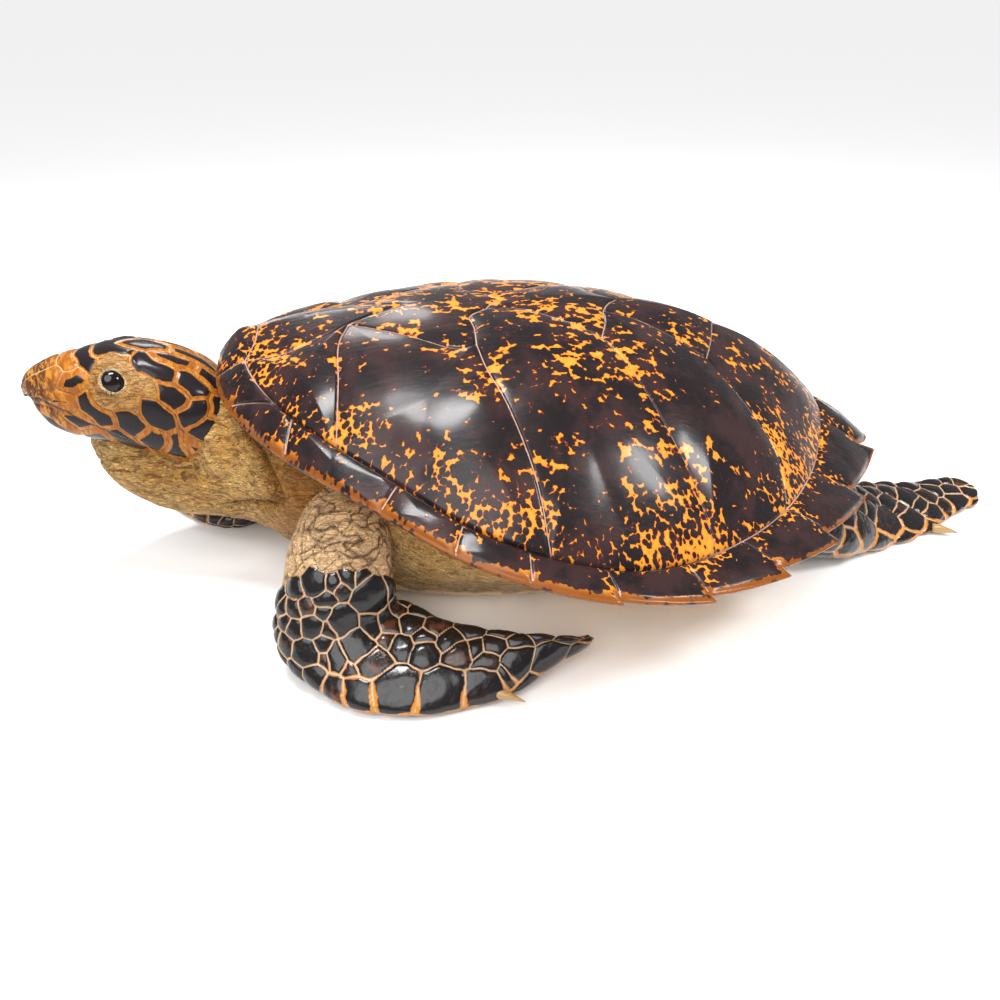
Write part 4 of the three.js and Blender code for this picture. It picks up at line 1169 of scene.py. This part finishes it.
def skin_colours_and_crease_shade(nodes, wrinkles, settings):
    light = nodes.mix(nodes.step(wrinkles["Mottle"], 0.35, 0.65), tuple(settings.skin), (0.98, 0.61, 0.21, 1))
    tan = nodes.mix(wrinkles["Streak"], (0.44, 0.195, 0.042, 1), light)
    # Painted shade: the skin goes towards the crease colour in the depth of wrinkles and folds.
    depth = nodes.math("MAXIMUM", nodes.math("MULTIPLY", wrinkles["Crease"], 0.85), nodes.number("fold"))
    return nodes.mix(nodes.math("MULTIPLY", depth, 0.85), tan, tuple(settings.crease))


def belly_material(groups, settings, skin_settings):
    material, nodes = new_material("belly horn")
    splash = nodes.group(groups["splashes"], Amount=nodes.number("amber"), Spot_size=0.6)
    wear = nodes.group(groups["varnish"], Roughness=0.36, Scratches=0.8)
    wrinkles = nodes.group(groups["wrinkles"], Coarse=0.8, Fine=0.9)
    light = nodes.mix(nodes.noise(nodes.place(), 40, 4.0), tuple(settings.belly), (0.82, 0.58, 0.27, 1))
    dark = nodes.mix(splash["Fringe"], (0.20, 0.09, 0.03, 1), (0.36, 0.17, 0.05, 1))
    horn = nodes.mix(splash["Amber"], dark, light)
    horn = nodes.mix(nodes.step(nodes.number("seam"), 0.5, 1.6, 1.0, 0.0), horn, (0.17, 0.09, 0.04, 1))
    bare = nodes.number("bare")
    streaks = nodes.noise(nodes.place((1, 3, 1)), 110, 4.0, 0.6)
    height = nodes.math("MULTIPLY_ADD", nodes.math("MULTIPLY", wrinkles["Height"], bare), 3.0, streaks)
    return dress(
        material, nodes, Base_Color=nodes.mix(bare, horn, skin_colours_and_crease_shade(nodes, wrinkles, skin_settings)),
        Roughness=nodes.math("MULTIPLY_ADD", bare, 0.25, wear["Roughness"]),
        Normal=nodes.bump(height, 0.0006), Coat_Weight=0.2, Coat_Roughness=0.2,
    )


def skin_material(groups, settings):
    material, nodes = new_material("wrinkled skin")
    wrinkles = nodes.group(groups["wrinkles"], Coarse=0.35)
    # Painted shade: the skin is darkened where it goes in under the shell, for the shell's shadow on the
    # shoulder.
    tucked = nodes.step(nodes.axis(0), -0.262, -0.222, 0.0, 0.72)
    tan = nodes.mix(tucked, skin_colours_and_crease_shade(nodes, wrinkles, settings), (0.28, 0.098, 0.012, 1))
    return dress(
        material, nodes, Base_Color=tan, Roughness=nodes.line(wrinkles["Mottle"], 0.2, 0.8, 0.42, 0.62),
        Normal=nodes.bump(wrinkles["Height"], 0.0018),
        Coat_Weight=0.08, Coat_Roughness=0.3, Specular_IOR_Level=0.2,
    )


def head_material(groups, settings):
    material, nodes = new_material("head plates")
    margin = nodes.line(nodes.number("ink"), 0.0, 1.0, 9.0, 1.6)
    ink = nodes.group(groups["ink"], Border=nodes.number("border"), Margin=margin, Ragged=0.5, Line_width=0.6)
    wear = nodes.group(groups["varnish"], Roughness=0.26, Scratches=0.8)
    wrinkles = nodes.group(groups["wrinkles"], Coarse=0.8, Fine=0.8)
    streaky = nodes.noise(nodes.place((2.5, 1, 1), (0, 35, 0)), 130, 4.0, 0.6, 0.5)
    amber = nodes.mix(nodes.step(streaky, 0.33, 0.58), tuple(settings.border), (0.30, 0.09, 0.012, 1))
    beak = nodes.mix(nodes.step(streaky, 0.40, 0.54), (0.50, 0.21, 0.035, 1), (0.10, 0.035, 0.016, 1))
    amber = nodes.mix(nodes.number("beak"), amber, beak)
    amber = nodes.mix(ink["Halo"], amber, (0.36, 0.12, 0.014, 1))
    dark = nodes.mix(nodes.noise(nodes.place(), 70, 3.0), tuple(settings.plate), (0.022, 0.016, 0.018, 1))
    horn = nodes.mix(ink["Ink"], amber, dark)
    # The lines between plates are dark on the cheek and pale on the crown.
    lines = nodes.mix(nodes.step(nodes.axis(2), 0.176, 0.190), (0.10, 0.040, 0.012, 1), (0.62, 0.38, 0.18, 1))
    horn = nodes.mix(ink["Line"], horn, lines)
    skin = nodes.mix(0.5, skin_colours_and_crease_shade(nodes, wrinkles, settings), (0.36, 0.15, 0.045, 1))
    colour = nodes.mix(nodes.number("bare"), horn, skin)
    colour = nodes.mix(nodes.number("lid"), colour, (0.70, 0.52, 0.30, 1))
    # Painted shade: the mouth groove and the nostrils are darkened.
    colour = nodes.mix(nodes.number("hollow"), colour, (0.05, 0.02, 0.008, 1))
    skin_height = nodes.math("MULTIPLY", wrinkles["Height"], nodes.number("bare"))
    height = nodes.math("MULTIPLY_ADD", skin_height, 2.0, nodes.math("MULTIPLY", wear["Height"], 0.35))
    return dress(
        material, nodes, Base_Color=colour, Roughness=wear["Roughness"], Normal=nodes.bump(height, 0.0008),
        Coat_Weight=0.4, Coat_Roughness=0.14, Coat_IOR=1.4, Specular_IOR_Level=0.06,
    )


def scale_material(groups, settings):
    material, nodes = new_material("scaled skin")
    amber, bare = nodes.number("amber"), nodes.number("bare")
    ragged = nodes.line(amber, 0.0, 1.2, 0.4, 1.0)
    ink = nodes.group(
        groups["ink"], Border=nodes.number("border"), Margin=nodes.math("ADD", amber, 0.62), Ragged=ragged,
        Line_width=0.85,
    )
    wear = nodes.group(groups["varnish"], Roughness=0.24, Scratches=0.8)
    wrinkles = nodes.group(groups["wrinkles"], Coarse=0.9, Fine=0.8)
    # A few of the scales are brown in part.
    clouds = nodes.step(nodes.noise(nodes.place(), 120, 3.0, 0.6), 0.45, 0.65)
    brown = nodes.math("MULTIPLY", nodes.step(nodes.number("tone"), 0.72, 0.9), clouds)
    dark = nodes.mix(brown, tuple(settings.plate), (0.09, 0.03, 0.014, 1))
    edge = nodes.mix(nodes.step(amber, 0.2, 1.2), (0.46, 0.30, 0.155, 1), tuple(settings.border))
    edge = nodes.mix(ink["Halo"], edge, (0.30, 0.10, 0.03, 1))
    horn = nodes.mix(ink["Ink"], edge, dark)
    horn = nodes.mix(ink["Line"], horn, (0.52, 0.36, 0.21, 1))
    grain = nodes.noise(nodes.place((1, 1, 3)), 200, 2.0)
    claw = nodes.mix(grain, (0.30, 0.16, 0.055, 1), (0.48, 0.30, 0.13, 1))
    horn = nodes.mix(nodes.number("claw"), horn, claw)
    skin = nodes.mix(0.55, skin_colours_and_crease_shade(nodes, wrinkles, settings), (0.98, 0.68, 0.43, 1))
    # Painted shade in the folds of the bare arm.
    skin = nodes.mix(nodes.math("MULTIPLY", nodes.number("fold"), 0.8), skin, tuple(settings.crease))
    dents = nodes.noise(nodes.place(), 130, 2.0, 0.5)
    height = nodes.math("MULTIPLY_ADD", wear["Height"], 0.9, nodes.math("MULTIPLY", dents, 2.4))
    height = nodes.math("MULTIPLY_ADD", nodes.math("MULTIPLY", wrinkles["Height"], bare), 2.8, height)
    return dress(
        material, nodes, Base_Color=nodes.mix(bare, horn, skin),
        Roughness=nodes.math("MULTIPLY_ADD", bare, 0.26, wear["Roughness"]),
        Normal=nodes.bump(height, 0.0008), Coat_Weight=nodes.line(bare, 0.0, 1.0, 0.7, 0.05),
        Coat_Roughness=0.14, Coat_IOR=1.48, Specular_IOR_Level=0.12,
    )


def eye_material():
    material, nodes = new_material("glass eye")
    iris = nodes.mix(nodes.noise(nodes.place(), 500, 3.0), (0.003, 0.002, 0.002, 1), (0.010, 0.006, 0.004, 1))
    smear = nodes.line(nodes.noise(nodes.place(), 120, 2.0), 0.3, 0.8, 0.03, 0.09)
    return dress(
        material, nodes, Base_Color=iris, Roughness=smear,
        Coat_Weight=0.5, Coat_Roughness=0.02, IOR=1.45, Specular_IOR_Level=0.2,
    )


def floor_material(settings):
    material, nodes = new_material("studio floor")
    darker = tuple(0.99 * part for part in settings.floor)
    tint = nodes.mix(nodes.noise(nodes.place(), 3, 2.0), tuple(settings.floor), darker)
    return dress(material, nodes, Base_Color=tint, Roughness=0.9, Specular_IOR_Level=0.1)


MATERIALS = {}


def make_materials(scene):
    """Makes the materials once, for whichever step comes first."""
    if MATERIALS:
        return
    groups = {
        "splashes": splashes_group(), "varnish": varnish_group(),
        "wrinkles": wrinkles_group(), "ink": ink_group(),
    }
    MATERIALS["shell"] = shell_material(groups, scene.turtle_shell)
    MATERIALS["belly"] = belly_material(groups, scene.turtle_shell, scene.turtle_skin)
    MATERIALS["skin"] = skin_material(groups, scene.turtle_skin)
    MATERIALS["head"] = head_material(groups, scene.turtle_skin)
    MATERIALS["scales"] = scale_material(groups, scene.turtle_skin)
    MATERIALS["eye"] = eye_material()


# ---------- operators ----------


class TURTLE_OT_carapace(bpy.types.Operator):
    """Builds the carapace with all its scutes"""

    bl_idname = "turtle.carapace"
    bl_label = "Carapace"

    def execute(self, context):
        make_materials(context.scene)
        bulge = context.scene.turtle_shell.bulge
        bm = new_shape("seam", "rim", "amber", "crease", "under", "fine")
        for kind, outlines in zip(SCUTES, scute_outlines()):
            for points in outlines:
                scute(bm, points, kind, bulge)
                if kind != "keel":
                    scute(bm, mirrored(points), kind, bulge)
        underside(bm)
        finish(bm, "shell_top", "carapace", MATERIALS["shell"])
        return {"FINISHED"}


class TURTLE_OT_plastron(bpy.types.Operator):
    """Builds the plastron and its bridges"""

    bl_idname = "turtle.plastron"
    bl_label = "Plastron"

    def execute(self, context):
        make_materials(context.scene)
        bm = new_shape("seam", "amber", "bare")
        plastron_shape(bm)
        finish(bm, "shell_bottom", "plastron", MATERIALS["belly"])
        return {"FINISHED"}


class TURTLE_OT_head(bpy.types.Operator):
    """Builds the head with its plates, lids and beak, and the two glass eyes"""

    bl_idname = "turtle.head"
    bl_label = "Head and eyes"

    def execute(self, context):
        make_materials(context.scene)
        bm = new_shape("border", "ink", "bare", "beak", "lid", "hollow")
        head_shape(bm)
        finish(bm, "head_skin", "head", MATERIALS["head"])
        for side, node in ((-1, "eye_left"), (1, "eye_right")):
            bm = new_shape()
            made = bmesh.ops.create_uvsphere(bm, u_segments=48, v_segments=32, radius=EYE_RADIUS)["verts"]
            centre = (EYE[0], side * EYE[1], EYE[2])
            put(made, turn_head(np.array([vertex.co[:] for vertex in made]) + centre))
            finish(bm, f"glass_{node}", node, MATERIALS["eye"])
        return {"FINISHED"}


class TURTLE_OT_neck(bpy.types.Operator):
    """Builds the neck, throat and shoulder skin, and the tail"""

    bl_idname = "turtle.neck"
    bl_label = "Neck and tail"

    def execute(self, context):
        make_materials(context.scene)
        for name, shape in (("neck", neck_shape), ("tail", tail_shape)):
            bm = new_shape("bare", "fold")
            shape(bm)
            finish(bm, f"{name}_skin", name, MATERIALS["skin"])
        return {"FINISHED"}


class TURTLE_OT_flippers(bpy.types.Operator):
    """Builds the four flippers with their scales and claws"""

    bl_idname = "turtle.flippers"
    bl_label = "Flippers"

    def execute(self, context):
        make_materials(context.scene)
        for node, numbers in FLIPPERS.items():
            bm = new_shape("border", "bare", "amber", "tone", "claw", "fold")
            add_claw(bm, *CLAWS[node])
            flipper_shape(bm, *numbers)
            finish(bm, f"scaled_{node}", node, MATERIALS["scales"])
        return {"FINISHED"}


def aimed(name, data, place, target, roll=0):
    """A new lamp or camera at a place, turned towards its target."""
    holder = bpy.data.objects.new(name, data)
    holder.location = place
    aim = (Vector(target) - Vector(place)).to_track_quat("-Z", "Y").to_matrix()
    holder.rotation_euler = (aim @ Matrix.Rotation(math.radians(roll), 3, "Z")).to_euler()
    bpy.context.scene.collection.objects.link(holder)
    return holder


# Soft lamps: place, target, size, share of the power and roll in degrees.
LAMPS = {
    "overhead": ((-0.30, -0.02, 1.35), (-0.08, -0.1, 0.1), (0.22, 0.6), 1.0, 40),
    "right": ((0.75, -0.45, 1.0), (0.03, -0.1, 0.1), (0.3, 0.3), 0.45, 0),
    "behind": ((-0.35, 1.15, 0.95), (-0.1, -0.1, 0.05), (0.5, 0.35), 0.3, 0),
}


class TURTLE_OT_stage(bpy.types.Operator):
    """Builds the floor, the soft lamps and the camera"""

    bl_idname = "turtle.stage"
    bl_label = "Stage"

    def execute(self, context):
        scene = context.scene
        settings = scene.turtle_stage
        bm = bmesh.new()
        bmesh.ops.create_grid(bm, x_segments=24, y_segments=24, size=30)
        mesh = bpy.data.meshes.new("studio_floor")
        bm.to_mesh(mesh)
        bm.free()
        mesh.materials.append(floor_material(settings))
        floor = bpy.data.objects.new("studio_floor", mesh)
        scene.collection.objects.link(floor)
        world = bpy.data.worlds.new("studio")
        world.use_nodes = True
        sky = world.node_tree.nodes["Background"]
        sky.inputs["Color"].default_value = (1, 1, 1, 1)
        sky.inputs["Strength"].default_value = 0.32
        scene.world = world
        sun = bpy.data.lights.new("front", "SUN")
        sun.energy = settings.sun_strength
        sun.angle = math.radians(50)
        aimed("front", sun, (0, 0, 0), (0.35, 0.75, -1.0))
        for name, (place, target, size, share, roll) in LAMPS.items():
            lamp = bpy.data.lights.new(name, "AREA")
            lamp.shape = "ELLIPSE"
            lamp.size, lamp.size_y = size
            lamp.energy = settings.lamp_power * share
            aimed(name, lamp, place, target, roll)
        scene.view_settings.view_transform = "Standard"
        camera = bpy.data.cameras.new("camera")
        camera.lens = settings.lens
        camera.sensor_width = 36
        camera.clip_start = 0.01
        shift = Vector((CENTRE_X, 0, 0))
        place, target = ((Vector(spot) - shift) * MM for spot in (CAMERA_PLACE, CAMERA_TARGET))
        scene.camera = aimed("camera", camera, place, target)
        return {"FINISHED"}


STEPS = (
    TURTLE_OT_stage, TURTLE_OT_carapace, TURTLE_OT_plastron,
    TURTLE_OT_head, TURTLE_OT_neck, TURTLE_OT_flippers,
)


class TURTLE_PT_panel(bpy.types.Panel):
    """Lists the settings and the steps"""

    bl_label = "Sea turtle"
    bl_idname = "TURTLE_PT_panel"
    bl_space_type = "VIEW_3D"
    bl_region_type = "UI"
    bl_category = "Turtle"

    def draw(self, context):
        for name in SETTINGS:
            settings = getattr(context.scene, name)
            box = self.layout.box()
            for key in settings.__annotations__:
                box.prop(settings, key)
        for step in STEPS:
            self.layout.operator(step.bl_idname)


CLASSES = (*SETTINGS.values(), *STEPS, TURTLE_PT_panel)


def register():
    for item in CLASSES:
        bpy.utils.register_class(item)
    for name, group in SETTINGS.items():
        setattr(bpy.types.Scene, name, bpy.props.PointerProperty(type=group))


def unregister():
    for name in SETTINGS:
        delattr(bpy.types.Scene, name)
    for item in reversed(CLASSES):
        bpy.utils.unregister_class(item)


def main():
    register()
    for step in STEPS:
        group, name = step.bl_idname.split(".")
        if getattr(getattr(bpy.ops, group), name)() != {"FINISHED"}:
            raise RuntimeError(f"{step.bl_label} was not built")


if __name__ == "__main__":
    main()
